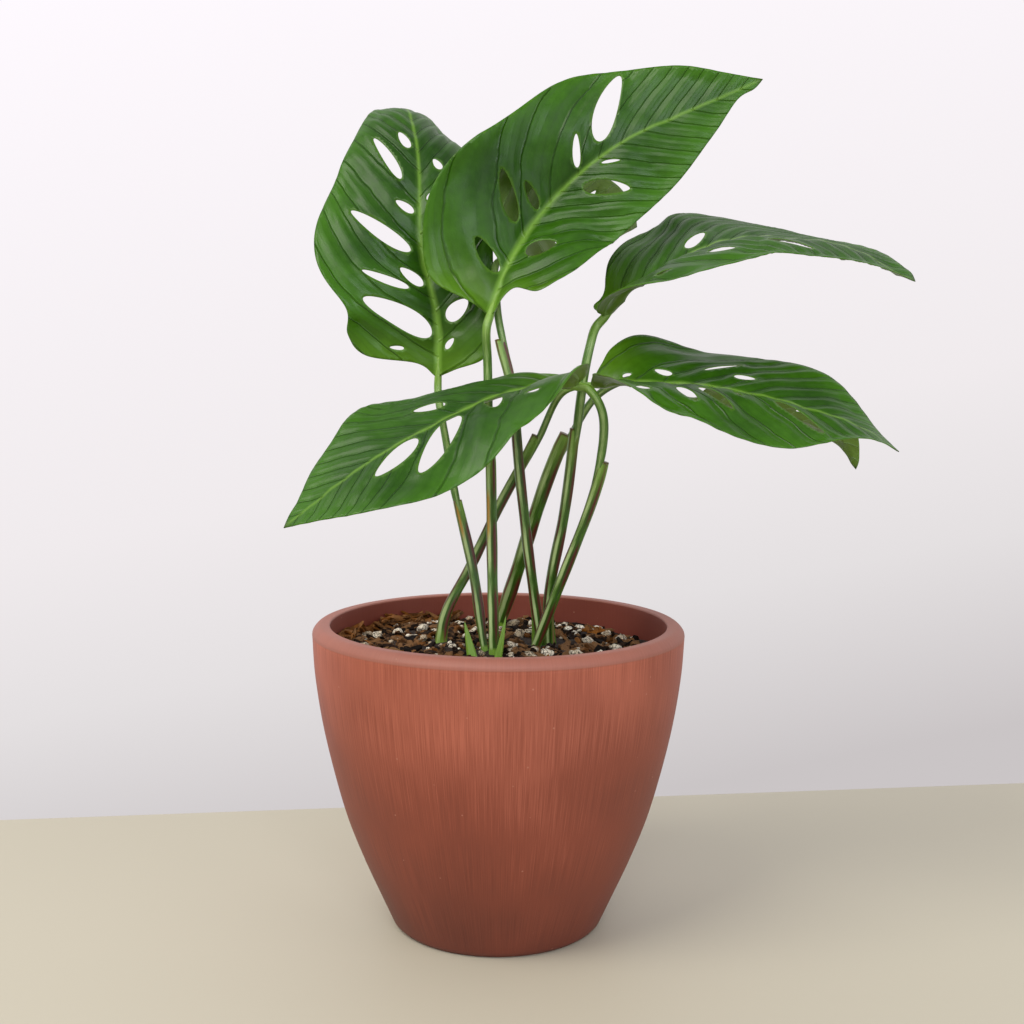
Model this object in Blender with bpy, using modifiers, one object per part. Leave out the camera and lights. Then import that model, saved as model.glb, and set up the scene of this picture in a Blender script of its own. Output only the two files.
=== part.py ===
"""Swiss cheese vine, Monstera adansonii, growing in a tapered terracotta-red pot.

Units are metres and +Z is up. The origin is the middle of the pot's flat base, and the plant is
seen from the front along +Y. Leaves are written in millimetres, in the leaf's own flat frame:
x runs along the midrib from the stalk to the tip, and y across it, positive on the right half
when the upper face is seen with its tip up.
"""
import math
import random
from dataclasses import dataclass

import bmesh
import bpy
import numpy as np
from mathutils import Matrix, Vector, noise
from mathutils.geometry import delaunay_2d_cdt

MM = 0.001
OBJECT_NAME = "swiss_cheese_vine_in_pot"
CLEARANCE = 0.35 * MM
SEED = 8

# Pot
RIM_RADIUS = 77.5 * MM
POT_HEIGHT = 128.0 * MM
WALL_AT_RIM = 7.4 * MM
WALL_AT_FLOOR = 6.0 * MM
FLOOR_THICKNESS = 7.0 * MM
FLOOR_CORNER = 4.0 * MM
INNER_LEVELS = (11 * MM, 30 * MM, 60 * MM, 95 * MM, 127 * MM)
BASE_RADIUS = 42.0 * MM
BASE_EDGE = 1.5 * MM
RIM_EDGE = 2.0 * MM
INNER_RIM_EDGE = 0.8 * MM
ROUND_STEPS = 48
DRAIN_COUNT = 4
DRAIN_RADIUS = 5.0 * MM
DRAIN_CIRCLE = 22.0 * MM

# Soil
SOIL_LEVEL = 115.5 * MM
SOIL_CROWN = 1.5 * MM
SOIL_ROUGHNESS = 1.3 * MM
SOIL_RINGS = 8
ROOT_DEPTH = 14.0 * MM
LUMP_COUNT = 38
CHIP_COUNT = 32

# Leaf blades
BLADE_EDGE = 0.8 * MM
BLADE_MIDRIB = 2.2 * MM
OUTLINE_STEP = 5.5
GRID_STEP = 8.5
CURL_WIDTH = 36.0
WIDTH_STATIONS = (0.05, 0.12, 0.22, 0.34, 0.47, 0.60, 0.72, 0.83, 0.92, 0.97)

# Stalks
SHEATH_STEP = 3.0 * MM
STALK_DEPTH = 1.1
STALK_END = (4.2, 1.3)
STALK_SPOTS = 20


@dataclass(frozen=True)
class LeafDesign:
    """One leaf: its midrib in space, how its blade is bent, and its flat outline and holes.

    midrib: points of the midrib in mm, stalk to tip.
    up: the way the upper face looks before it is rolled about the midrib.
    roll, fold, curl: (part of the length, degrees) stations. Fold and curl hold the left and the
        right half: fold lifts the half at the midrib, curl bends it over CURL_WIDTH.
    left, right: half widths in mm at WIDTH_STATIONS.
    shoulders: how far along the left and the right base corner lie, in mm.
    holes: (inner end, outer end, width) in mm.
    """
    midrib: tuple
    up: tuple
    roll: tuple
    fold: tuple
    curl: tuple
    left: tuple
    right: tuple
    shoulders: tuple
    holes: tuple


LEAVES = {
    "back_left": LeafDesign(
        midrib=((-26.5, 17.5, 230), (-27.5, 18.5, 257.5), (-33.5, 22.5, 283), (-35, 31.5, 311.5),
                (-38.5, 48, 338), (-41.5, 61, 346.5), (-44.5, 76.5, 349), (-46.5, 90.5, 343.5)),
        up=(0, -1, 1),
        roll=((0, -7), (0.35, -5), (0.6, 0), (0.8, 14), (1, 5)),
        fold=((0, 21, 24), (0.35, 17, 16), (0.6, 10, 2), (0.8, 10, -3), (1, 0, -10)),
        curl=((0, -20, -20), (0.35, -16, -16), (0.6, -40, -60), (0.8, -85, -85), (1, -60, -60)),
        left=(31, 38, 37.5, 45, 41, 35, 26, 16, 7.5, 3.5),
        right=(22, 21, 27, 31, 32, 29.5, 21, 12, 6.5, 3.5),
        shoulders=(5, 3),
        holes=(((17, -3), (38.5, -29.5), 10), ((39, -9.5), (49, -27), 3.4), ((39, -3), (47.5, -11), 4.6),
               ((54, -5), (71, -29), 6), ((70.5, -2.5), (75.5, -10), 3.6), ((86, -8), (109.5, -18.2), 4.5),
               ((102, -3.5), (111, -7), 4), ((11.5, -14.5), (12, -20.5), 1.8),
               ((23.5, 4.5), (29, 14.5), 6.5), ((11.5, 3.5), (15.5, 7.5), 2.7), ((76, 3.5), (80, 6), 2.7),
               ((40, 5), (50, 20), 4.5), ((57, 5), (68, 19), 4.5), ((91, 9.5), (96, 6.5), 3.4)),
    ),
    "top": LeafDesign(
        midrib=((-4.5, -6.5, 255.5), (0, 1, 269), (7.5, 9, 284.5), (19.5, 18.5, 301.5),
                (38, 17, 319), (60, 15.5, 332.5), (83.5, 13.5, 342.5), (107, 11.5, 352.5)),
        up=(0, -1, 0),
        roll=((0, -19), (0.35, -10), (0.7, -13), (1, -11)),
        fold=((0, 19, 36), (0.35, 33, 26), (0.7, 1, 11), (1, 7, 10)),
        curl=((0, -24, -28), (0.35, -1, -8), (0.7, -19, -12), (1, -9, -9)),
        left=(26.5, 36, 43, 42.5, 36.5, 34.5, 26.5, 18.5, 8.5, 3),
        right=(22.5, 30, 34.5, 36, 35, 31.5, 25.5, 14.5, 4, 2.5),
        shoulders=(3, 11),
        holes=(((90.5, -5.5), (109.5, -27), 8.5), ((77.5, -2.5), (85, -13.5), 3),
               ((42, -6.5), (53, -25.5), 6.5),
               ((53.5, -2.2), (57.5, -14.5), 4.4), ((19.5, -2.5), (27.5, -17), 6),
               ((86.5, 2.5), (93.5, 6.5), 1.6), ((74, 6.5), (90, 20), 6.5), ((31, 5.5), (39, 16), 8.5)),
    ),
    "right_upper": LeafDesign(
        midrib=((42, 3.5, 255.5), (51, 2.5, 264.5), (64.5, 1.5, 273.5), (80.5, 1, 282.5),
                (101, 4, 288), (122.5, 1.5, 288), (142, -6, 282), (164.5, -18, 269.5)),
        up=(0, 0, 1),
        roll=((0, 12), (0.35, 16), (0.7, 13), (1, 13)),
        fold=((0, 27, 36), (0.35, 17, 15), (0.7, 0, 4), (1, 6, 10)),
        curl=((0, 8, -51), (0.35, -15, -27), (0.7, -22, -20), (1, -16, -8)),
        left=(10.5, 26.5, 37, 40, 37.5, 32.5, 26, 18, 9, 5),
        right=(21.5, 31, 37, 36, 34.5, 32, 26.5, 18.5, 8, 3.5),
        shoulders=(0, 0),
        holes=(((44, -4.5), (54.5, -10.5), 6), ((47.5, 16), (55, 22), 5.5), ((75, 15.5), (100, 19), 5),
               ((26, 27), (32, 25), 3)),
    ),
    "right_lower": LeafDesign(
        midrib=((37, -8, 228), (49, -11.5, 228.5), (64, -15, 228.5), (81, -20, 228),
                (100, -26, 224.5), (119, -32, 220.5), (137, -37.5, 213), (153.5, -43, 203.5)),
        up=(0, 0, 1),
        roll=((0, 20), (0.35, 21), (0.7, 23), (1, 12)),
        fold=((0, 35, 38), (0.35, 11, 14), (0.7, 10, -2), (1, -3, 14)),
        curl=((0, -11, -21), (0.35, -25, -21), (0.7, -15, -19), (1, -11, -10)),
        left=(18, 28, 34.5, 37, 36.5, 33, 27, 18.5, 7.5, 2.5),
        right=(21.5, 28.5, 33.5, 36.5, 36.5, 33, 28, 19.5, 8, 2.5),
        shoulders=(3, 2.5),
        holes=(((12.5, -3), (16, -4.5), 2), ((32, -5.5), (25, -8), 3.6), ((55.5, -10), (64, -11), 3.6),
               ((43.5, -11.5), (56.5, -22.5), 2), ((26.5, 20.5), (22, 28.5), 3), ((37, 10), (47.5, 23.5), 5),
               ((45, 6.5), (61.5, 20), 5.5), ((58, 1.8), (62, 5.5), 2), ((75, 2.8), (98, 16), 4.4)),
    ),
    "front_left": LeafDesign(
        midrib=((30, -25, 228), (17.5, -30.5, 228.5), (3.5, -37.5, 225), (-12.5, -46, 220),
                (-29, -56.5, 211.5), (-45, -67, 202), (-62, -73, 190), (-78, -77, 176.5)),
        up=(0, 0, 1),
        roll=((0, -6), (0.35, -13), (0.7, -22), (1, -25)),
        fold=((0, 33, 19), (0.35, 12, 7), (0.7, -2, 5), (1, -3, 3)),
        curl=((0, -22, -60), (0.35, -21, -31), (0.7, -22, -4), (1, -12, -10)),
        left=(23.5, 30.5, 34.5, 36.5, 37, 33, 28, 20, 10, 4),
        right=(21, 29.5, 36, 38, 36, 29, 23.5, 17, 7, 3),
        shoulders=(0, 0),
        holes=(((75.5, -3.2), (97.5, -9.5), 7.5), ((57, -6.5), (86, -19), 9.5),
               ((38.5, -2.5), (45, -15.5), 7),
               ((28, -21.5), (31, -16), 2.4), ((53.5, 7.5), (64.5, 12.5), 6)),
    ),
    "behind_top": LeafDesign(
        midrib=((0, 19.5, 279.5), (15, 36, 291), (32.5, 57, 299), (50, 78.5, 302), (64, 97, 300)),
        up=(0, 0, 1),
        roll=((0, -82), (0.4, -78), (1, -62)),
        fold=((0, 24, 24), (0.4, 12, 12), (1, 5, 5)),
        curl=((0, -20, -20), (1, -20, -20)),
        left=(10, 14, 16, 18, 20, 20, 18, 13, 7, 3),
        right=(32, 39, 36, 26, 21.5, 20, 17, 12, 6, 3),
        shoulders=(3, 9),
        holes=(((40, -4), (50, -14), 4), ((60, -4), (70, -13), 4),
               ((38, 4), (49, 14), 4), ((58, 4), (68, 12), 3.5)),
    ),
    "behind_right": LeafDesign(
        midrib=((84, 27, 221), (108, 43.5, 218.5), (134, 60, 213), (157, 75, 204), (166, 82, 195),
                (169, 84, 186.5)),
        up=(0, 0, 1),
        roll=((0, -14), (0.4, -16), (0.8, -22), (1, -30)),
        fold=((0, 20, 20), (0.4, 12, 12), (1, 5, 5)),
        curl=((0, -20, -20), (1, -20, -20)),
        left=(12, 17, 22, 25, 23, 17, 11, 6, 3.2, 1.8),
        right=(8, 11, 14, 18, 20, 19, 14, 8, 3.8, 2),
        shoulders=(0, 0),
        holes=(((26, -4), (38, -14), 4), ((46, -4), (58, -13), 4),
               ((36, 3.5), (46, 11), 3.5), ((58, 3.5), (70, 12), 4)),
    ),
}


@dataclass(frozen=True)
class StalkDesign:
    """One leaf stalk: its route from the soil to the leaf and how thick it is.

    route: points of the centre line in mm, soil first, ending a little before the leaf.
    sheath: part of the whole length that the sheath wraps.
    foot, sheathed, bare: radius in mm at the soil, over the sheath and above it.
    """
    route: tuple
    sheath: float
    foot: float
    sheathed: float
    bare: float


STALKS = {
    "back_left": StalkDesign(
        route=((-6, -9, 119.5), (-12, -3, 155.5), (-19.3, 4, 185), (-22.5, 10, 202.5), (-25.5, 15, 217.5)),
        sheath=0.55, foot=1.4, sheathed=2.1, bare=1.6),
    "top": StalkDesign(
        route=((-2, -14, 119.5), (-3, -11, 157), (-4, -6, 195), (-5, -2.5, 225), (-5.5, -4.5, 241)),
        sheath=0.6, foot=2.0, sheathed=2.2, bare=1.8),
    "right_upper": StalkDesign(
        route=((22, 14, 115.5), (21.5, 12, 135), (26, 8.5, 163), (30.2, 4.5, 191.5), (33.2, -1, 222),
               (35, -1, 235), (37.5, 1, 246)),
        sheath=0.5, foot=2.1, sheathed=2.3, bare=1.9),
    "right_lower": StalkDesign(
        route=((-24.5, 7, 115), (-23, 7.5, 127), (-13.5, 8.5, 146.5), (0, 9, 174), (17, 6.5, 206),
               (22.5, 0, 219.5), (27, -5, 225)),
        sheath=0.76, foot=2.5, sheathed=2.2, bare=1.45),
    "front_left": StalkDesign(
        route=((14.5, 0, 115), (29, -9, 157.5), (39, -17.5, 191), (41.3, -22, 208), (40, -24.5, 218),
               (37, -24, 223.5)),
        sheath=0.66, foot=1.9, sheathed=2.2, bare=1.8),
    "behind_top": StalkDesign(
        route=((18.5, 6, 116.5), (15.5, 5.5, 135.5), (10.5, 2.5, 174.5), (7.6, 2, 205.5), (5, 3, 229.5),
               (1.5, 5.5, 243), (-1.2, 9, 256), (-2.2, 13, 268)),
        sheath=0.78, foot=1.8, sheathed=2.2, bare=1.6),
    "behind_right": StalkDesign(
        route=((1, 48, 119), (14.5, 37.5, 162), (28.5, 27.5, 200), (34.5, 24.5, 212), (40, 22.5, 220.5),
               (50, 21, 227.5), (67, 22.5, 228)),
        sheath=0.58, foot=2.3, sheathed=2.3, bare=1.45),
}

# Young spikes and the dry sheath at the soil: foot, tip and foot radius, all in mm
SPIKES = {
    "spike_left": ((-10.7, -16.3, 116), (-14, -15, 131), 2.2),
    "spike_middle": ((0, -19, 117), (3, -17.5, 134), 1.6),
    "spike_right": ((15.5, 11.5, 116.5), (14.2, 10, 136), 1.3),
    "dry_sheath": ((23.5, 8, 115.5), (22.5, 6.5, 133), 1.3),
}


def remove_scene_objects():
    """Empty the open scene without closing the file this script runs from."""
    for item in list(bpy.data.objects):
        bpy.data.objects.remove(item, do_unlink=True)


def new_collection(name):
    """Add a collection of that name to the scene."""
    collection = bpy.data.collections.new(name)
    bpy.context.scene.collection.children.link(collection)
    return collection


def new_material(name, colour, roughness, metallic=0.0):
    """Make a plain Principled material."""
    material = bpy.data.materials.new(name)
    material.use_nodes = True
    shader = material.node_tree.nodes["Principled BSDF"]
    shader.inputs["Base Color"].default_value = (*colour, 1.0)
    shader.inputs["Roughness"].default_value = roughness
    shader.inputs["Metallic"].default_value = metallic
    material.diffuse_color = (*colour, 1.0)
    return material


def add_mesh_object(name, mesh, collection, material=None):
    """Put a mesh in the scene as a named object."""
    item = bpy.data.objects.new(name, mesh)
    collection.objects.link(item)
    if material is not None:
        mesh.materials.append(material)
    return item


def evaluated_mesh(item):
    """The mesh an object shows with its modifiers, as new mesh data."""
    bpy.context.view_layer.update()
    graph = bpy.context.evaluated_depsgraph_get()
    return bpy.data.meshes.new_from_object(item.evaluated_get(graph), depsgraph=graph)


def settle(item):
    """Turn an object's modifiers into plain mesh data with welded points."""
    mesh = evaluated_mesh(item)
    item.modifiers.clear()
    weld(mesh)
    item.data = mesh
    return item


def weld(mesh):
    """Join points that lie on each other."""
    work = bmesh.new()
    work.from_mesh(mesh)
    bmesh.ops.remove_doubles(work, verts=work.verts, dist=0.01 * MM)
    bmesh.ops.recalc_face_normals(work, faces=work.faces)
    work.to_mesh(mesh)
    work.free()


def round_along(points, steps):
    """A smooth curve through points: each piece leaves a point along the line of its neighbours."""
    points = np.asarray(points, float)
    padded = np.vstack([2 * points[0] - points[1], points, 2 * points[-1] - points[-2]])
    t = np.linspace(0, 1, steps, endpoint=False)[:, None]
    pieces = []
    for before, start, end, after in zip(padded, padded[1:], padded[2:], padded[3:]):
        bend = 2 * before - 5 * start + 4 * end - after
        twist = 3 * start - before - 3 * end + after
        pieces.append(0.5 * (2 * start + (end - before) * t + bend * t ** 2 + twist * t ** 3))
    return np.vstack(pieces + [points[-1:]])


def path_length(points):
    """Distance along a row of points, from the first to each one."""
    steps = np.linalg.norm(np.diff(points, axis=0), axis=1)
    return np.concatenate([[0.0], np.cumsum(steps)])


def even_points(points, step):
    """The same line with points about one step apart."""
    along = path_length(points)
    count = max(2, round(along[-1] / step) + 1)
    wanted = np.linspace(0, along[-1], count)
    return np.stack([np.interp(wanted, along, points[:, axis]) for axis in range(points.shape[1])], -1)


def bending_spline(points, count=200):
    """A natural cubic spline through points in space: bending is even and ends are straight."""
    points = np.asarray(points, float)
    knots = path_length(points)
    gap = np.diff(knots)
    size = len(points)
    system = np.eye(size)
    right_side = np.zeros_like(points)
    for i in range(1, size - 1):
        system[i, i - 1:i + 2] = gap[i - 1], 2 * (gap[i - 1] + gap[i]), gap[i]
        change = (points[i + 1] - points[i]) / gap[i] - (points[i] - points[i - 1]) / gap[i - 1]
        right_side[i] = 6 * change
    second = np.linalg.solve(system, right_side)
    where = np.linspace(0, knots[-1], count)
    i = np.clip(np.searchsorted(knots, where, side="right") - 1, 0, size - 2)
    h = gap[i][:, None]
    a = (knots[i + 1] - where)[:, None] / h
    b = 1 - a
    curve = a * points[i] + b * points[i + 1]
    return curve + ((a ** 3 - a) * second[i] + (b ** 3 - b) * second[i + 1]) * h ** 2 / 6


def eased(stations, where):
    """Values at stations along the leaf, joined by a smooth ease; one row for each place."""
    table = np.asarray(stations, float)
    part = np.clip(np.asarray(where, float), table[0, 0], table[-1, 0])
    i = np.clip(np.searchsorted(table[:, 0], part, side="right") - 1, 0, len(table) - 2)
    t = (part - table[i, 0]) / (table[i + 1, 0] - table[i, 0])
    t = (t * t * (3 - 2 * t))[..., None]
    return table[i, 1:] * (1 - t) + table[i + 1, 1:] * t


def unit(vectors):
    """Vectors of length one, the same way."""
    return vectors / np.linalg.norm(vectors, axis=-1, keepdims=True)


class LeafSurface:
    """The bent blade of one leaf, in mm: it takes flat points to places in the world."""

    def __init__(self, design):
        self.design = design
        self.line = bending_spline(design.midrib)
        self.along = path_length(self.line)
        self.length = self.along[-1]
        self.heading = unit(np.gradient(self.line, self.along, axis=0))

    def frame(self, x):
        """Midrib point, heading, upper face direction and sideways direction at x."""
        inside = np.clip(x, 0, self.length)
        axes = range(3)
        start = np.stack([np.interp(inside, self.along, self.line[:, k]) for k in axes], -1)
        heading = unit(np.stack([np.interp(inside, self.along, self.heading[:, k]) for k in axes], -1))
        start = start + heading * (x - inside)[..., None]
        face = np.asarray(self.design.up, float) + 0 * heading
        face = unit(face - heading * (face * heading).sum(-1, keepdims=True))
        side = np.cross(heading, face)
        roll = np.radians(eased(self.design.roll, inside / self.length))
        rolled = face * np.cos(roll) + side * np.sin(roll)
        return start, heading, rolled, side * np.cos(roll) - face * np.sin(roll)

    def place(self, x, y):
        """World points in mm for flat points; each half is an arc that starts at the fold angle."""
        x, y = np.asarray(x, float), np.asarray(y, float)
        start, _, face, side = self.frame(x)
        half = (y >= 0).astype(int)[..., None]
        part = x / self.length
        fold = np.radians(np.take_along_axis(eased(self.design.fold, part), half, -1))[..., 0]
        curl = np.radians(np.take_along_axis(eased(self.design.curl, part), half, -1))[..., 0] / CURL_WIDTH
        curl = np.where(np.abs(curl) < 1e-6, 1e-6, curl)
        reach = fold + curl * np.abs(y)
        out = (np.sin(reach) - np.sin(fold)) / curl
        rise = (np.cos(fold) - np.cos(reach)) / curl
        return start + side * (np.sign(y) * out)[..., None] + face * rise[..., None]


def half_outline(design, length, sign):
    """The flat edge of one half, stalk to tip, through its shoulder and its widths."""
    widths = design.right if sign > 0 else design.left
    shoulder = design.shoulders[1 if sign > 0 else 0]
    points = [(0, 1.2), (shoulder, 9)]
    points += [(part * length, width) for part, width in zip(WIDTH_STATIONS, widths)]
    points.append((length, 0))
    edge = even_points(round_along(points, 8), OUTLINE_STEP)
    edge[:, 1] *= sign
    return edge


def hole_outline(inner, outer, width):
    """An oval between two veins, widest nearer the midrib, as a closed row of flat points."""
    inner, outer = np.asarray(inner, float), np.asarray(outer, float)
    length = np.linalg.norm(outer - inner)
    count = int(np.clip(round(length / 2.6) * 2, 6, 14))
    turn = np.arange(count) * 2 * math.pi / count
    across = np.array([inner[1] - outer[1], outer[0] - inner[0]]) / length
    centre = (inner + outer) / 2
    long_way = -np.cos(turn) * 0.5
    wide_way = np.sin(turn) * 0.5 * (1 - 0.25 * long_way * 2)
    return centre + (outer - inner) * long_way[:, None] + across * width * wide_way[:, None]


def inside_ring(points, ring):
    """Which points lie inside a closed ring, by counting the edges that a ray crosses."""
    x, y = points[:, 0][:, None], points[:, 1][:, None]
    x0, y0 = ring[:, 0], ring[:, 1]
    x1, y1 = np.roll(x0, -1), np.roll(y0, -1)
    spans = (y0 > y) != (y1 > y)
    slope = np.where(y1 == y0, 1.0, y1 - y0)
    crosses = spans & (x < (x1 - x0) * (y - y0) / slope + x0)
    return crosses.sum(1) % 2 == 1


def blade_sheet(surface):
    """Flat points and triangles of a blade with its holes, and which points are on the midrib."""
    design = surface.design
    right = half_outline(design, surface.length, 1)
    left = half_outline(design, surface.length, -1)
    rings = [np.vstack([right, left[::-1][1:]])]
    rings += [hole_outline(*hole) for hole in design.holes]
    midrib = np.stack([np.arange(3.0, surface.length - 3.0, 6.0)] * 2, -1) * (1, 0)
    rows = np.arange(-50, 51, GRID_STEP * 0.87)
    grid = []
    for number, y in enumerate(rows):
        shift = 0.5 * GRID_STEP * (number % 2)
        grid += [(x + shift, y) for x in np.arange(0, surface.length, GRID_STEP) if abs(y) > 0.5 * GRID_STEP]
    inner = np.vstack([midrib, np.array(grid)])
    border = np.vstack(rings)
    far = np.linalg.norm(inner[:, None] - border[None], axis=2).min(1)
    keep = inside_ring(inner, rings[0]) & (far > 0.45 * GRID_STEP)
    for ring in rings[1:]:
        keep &= ~inside_ring(inner, ring)
    close_midrib = (inner[:, 1] == 0) & inside_ring(inner, rings[0]) & (far > 1.2)
    inner = inner[keep | close_midrib]
    points = np.vstack([border, inner])
    edges, first = [], 0
    for ring in rings:
        count = len(ring)
        edges += [(first + i, first + (i + 1) % count) for i in range(count)]
        first += count
    found = delaunay_2d_cdt([Vector(point) for point in points], edges, [], 1, 1e-5)
    flat = np.array([point[:] for point in found[0]])
    triangles = np.array([face for face in found[2] if len(face) == 3])
    middle = flat[triangles].mean(1)
    solid = inside_ring(middle, rings[0])
    for ring in rings[1:]:
        solid &= ~inside_ring(middle, ring)
    triangles = triangles[solid]
    corner = flat[triangles]
    turn = np.cross(corner[:, 1] - corner[:, 0], corner[:, 2] - corner[:, 0])
    triangles[turn > 0] = triangles[turn > 0][:, ::-1]
    used = np.unique(triangles)
    number = -np.ones(len(flat), int)
    number[used] = np.arange(len(used))
    return flat[used], number[triangles]


def build_blade(name, design, collection, material):
    """A blade: the bent sheet with its holes, thickened downwards and most of all at the midrib."""
    surface = LeafSurface(design)
    flat, triangles = blade_sheet(surface)
    places = surface.place(flat[:, 0], flat[:, 1]) * MM
    mesh = bpy.data.meshes.new(name)
    mesh.from_pydata(places.tolist(), [], triangles.tolist())
    item = add_mesh_object(name, mesh, collection, material)
    group = item.vertex_groups.new(name="thickness")
    thin = BLADE_EDGE / BLADE_MIDRIB
    for index, (x, y) in enumerate(flat):
        taper = 1 - 0.75 * x / surface.length
        group.add([index], thin + (1 - thin) * taper * (abs(y) < 1.5), "REPLACE")
    solidify = item.modifiers.new("thickness", "SOLIDIFY")
    solidify.thickness = BLADE_MIDRIB
    solidify.offset = -1.0
    solidify.vertex_group = group.name
    solidify.use_quality_normals = True
    mesh.shade_smooth()
    return item


def build_tube(name, points, radii, collection, material):
    """A round rod along points in metres, with its own radius at each point and closed ends."""
    curve = bpy.data.curves.new(name, "CURVE")
    curve.dimensions = "3D"
    curve.bevel_depth = 1.0
    curve.bevel_resolution = 2
    curve.use_fill_caps = True
    line = curve.splines.new("POLY")
    line.points.add(len(points) - 1)
    for spot, point, radius in zip(line.points, points, radii):
        spot.co = (*point, 1.0)
        spot.radius = radius
    guide = bpy.data.objects.new(name + "_guide", curve)
    collection.objects.link(guide)
    mesh = evaluated_mesh(guide)
    mesh.name = name
    mesh.transform(guide.matrix_world)
    bpy.data.objects.remove(guide, do_unlink=True)
    weld(mesh)
    mesh.materials.clear()
    item = add_mesh_object(name, mesh, collection, material)
    mesh.shade_smooth()
    return item


def stalk_line(name):
    """The centre line of a stalk in metres, from its foot in the soil to its leaf."""
    surface = LeafSurface(LEAVES[name])
    start, heading, face, _ = (value[0] for value in surface.frame(np.array([0.0])))
    under = start - face * STALK_DEPTH
    points = [np.asarray(point, float) for point in STALKS[name].route]
    foot = points[0] - unit(points[1] - points[0]) * ROOT_DEPTH / MM
    points = [foot] + points + [under - heading * reach for reach in STALK_END]
    return bending_spline(points, 160) * MM


def stalk_radii(along, design):
    """Radius at distances along a stalk: the sheath widens from the foot, then a step to bare."""
    end = along[-1] * design.sheath
    stations = [0, ROOT_DEPTH, ROOT_DEPTH + 0.25 * end, end, end + SHEATH_STEP, along[-1]]
    radii = [design.foot, design.foot, design.sheathed, design.sheathed, design.bare, design.bare]
    return np.interp(along, stations, np.array(radii) * MM)


def build_stalk(name, collection, material):
    """A leaf stalk with its sheath, from below the soil to the leaf."""
    line = stalk_line(name)
    along = path_length(line)
    sheath_end = along[-1] * STALKS[name].sheath
    wanted = np.linspace(0, along[-1], STALK_SPOTS)
    wanted = np.unique(np.concatenate([wanted, [sheath_end, sheath_end + SHEATH_STEP]]))
    spots = np.stack([np.interp(wanted, along, line[:, axis]) for axis in range(3)], -1)
    radii = stalk_radii(wanted, STALKS[name])
    return build_tube(f"leaf_{name}_stalk", spots, radii, collection, material)


def build_spike(name, collection, material):
    """A young spike: a slim cone that leans from its foot in the soil to its tip."""
    foot, tip, radius = SPIKES[name]
    foot, tip = np.asarray(foot, float) * MM, np.asarray(tip, float) * MM
    way = tip - foot
    bow = np.array([way[1], -way[0], 0.0]) * 0.1
    parts = np.array([-0.45, 0.0, 0.35, 0.7, 1.0])
    above = np.maximum(parts, 0)
    spots = foot + way * parts[:, None] + bow * (above * (1 - above))[:, None]
    radii = radius * MM * np.array([1.0, 1.0, 0.8, 0.45, 0.12])
    return build_tube(name, spots, radii, collection, material)


def outer_profile():
    """The pot's outer side as (radius, height), top to bottom, drawn through its measured widths."""
    heights = np.array([0, 14, 30, 48, 68, 88, 108, 124.5]) * MM
    between = np.array([49.8, 56.8, 63.6, 69.1, 73.5, 76.4]) * MM
    radii = np.array([BASE_RADIUS + BASE_EDGE, *between, RIM_RADIUS])
    return radii[::-1], heights[::-1]


def inner_radius(height):
    """The inside of the pot's wall at a height: straight between the levels that draw it."""
    radii, heights = outer_profile()
    levels = np.array(INNER_LEVELS)
    wall = WALL_AT_FLOOR + (WALL_AT_RIM - WALL_AT_FLOOR) * levels / POT_HEIGHT
    return np.interp(height, levels, np.interp(levels, heights[::-1], radii[::-1]) - wall)


def turned_object(name, profile, collection, material=None):
    """A solid turned from a profile of (radius, height) about +Z."""
    mesh = bpy.data.meshes.new(name)
    corners = [(radius, 0.0, height) for radius, height in profile]
    mesh.from_pydata(corners, [(i, i + 1) for i in range(len(corners) - 1)], [])
    item = add_mesh_object(name, mesh, collection, material)
    screw = item.modifiers.new("turn", "SCREW")
    screw.axis = "Z"
    screw.steps = ROUND_STEPS
    screw.render_steps = ROUND_STEPS
    screw.use_merge_vertices = True
    screw.merge_threshold = 0.00001
    screw.use_smooth_shade = True
    return item


def build_pot(collection, cutters, material):
    """The pot: a turned shell with a rounded rim and four drain holes off its centre."""
    radii, heights = outer_profile()
    profile = [(0.0, FLOOR_THICKNESS), (inner_radius(INNER_LEVELS[0]) - FLOOR_CORNER, FLOOR_THICKNESS)]
    profile += [(inner_radius(height), height) for height in INNER_LEVELS]
    profile += [(inner_radius(POT_HEIGHT) + INNER_RIM_EDGE, POT_HEIGHT), (RIM_RADIUS - RIM_EDGE, POT_HEIGHT)]
    profile += [(RIM_RADIUS - 0.25 * RIM_EDGE, POT_HEIGHT - 0.7 * RIM_EDGE)]
    profile += list(zip(radii[:-1], heights[:-1]))
    profile += [(BASE_RADIUS + 0.8 * BASE_EDGE, BASE_EDGE), (BASE_RADIUS, 0.0), (0.0, 0.0)]
    pot = turned_object("pot", profile, collection, material)
    for number in range(DRAIN_COUNT):
        angle = 2 * math.pi * (number + 0.5) / DRAIN_COUNT
        spot = (DRAIN_CIRCLE * math.cos(angle), DRAIN_CIRCLE * math.sin(angle), FLOOR_THICKNESS / 2)
        depth = 3 * FLOOR_THICKNESS
        bpy.ops.mesh.primitive_cylinder_add(vertices=16, radius=DRAIN_RADIUS, depth=depth, location=spot)
        add_cutter(bpy.context.object, f"drain_hole_{number + 1}", cutters, pot)
    return pot


def add_cutter(cutter, name, cutters, target):
    """Hide a cutter, file it with the cutters and cut the target with it."""
    cutter.name = name
    for owner in list(cutter.users_collection):
        owner.objects.unlink(cutter)
    cutters.objects.link(cutter)
    cutter.hide_render = True
    cutter.display_type = "WIRE"
    cut = target.modifiers.new(name, "BOOLEAN")
    cut.operation = "DIFFERENCE"
    cut.solver = "EXACT"
    cut.object = cutter


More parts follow.
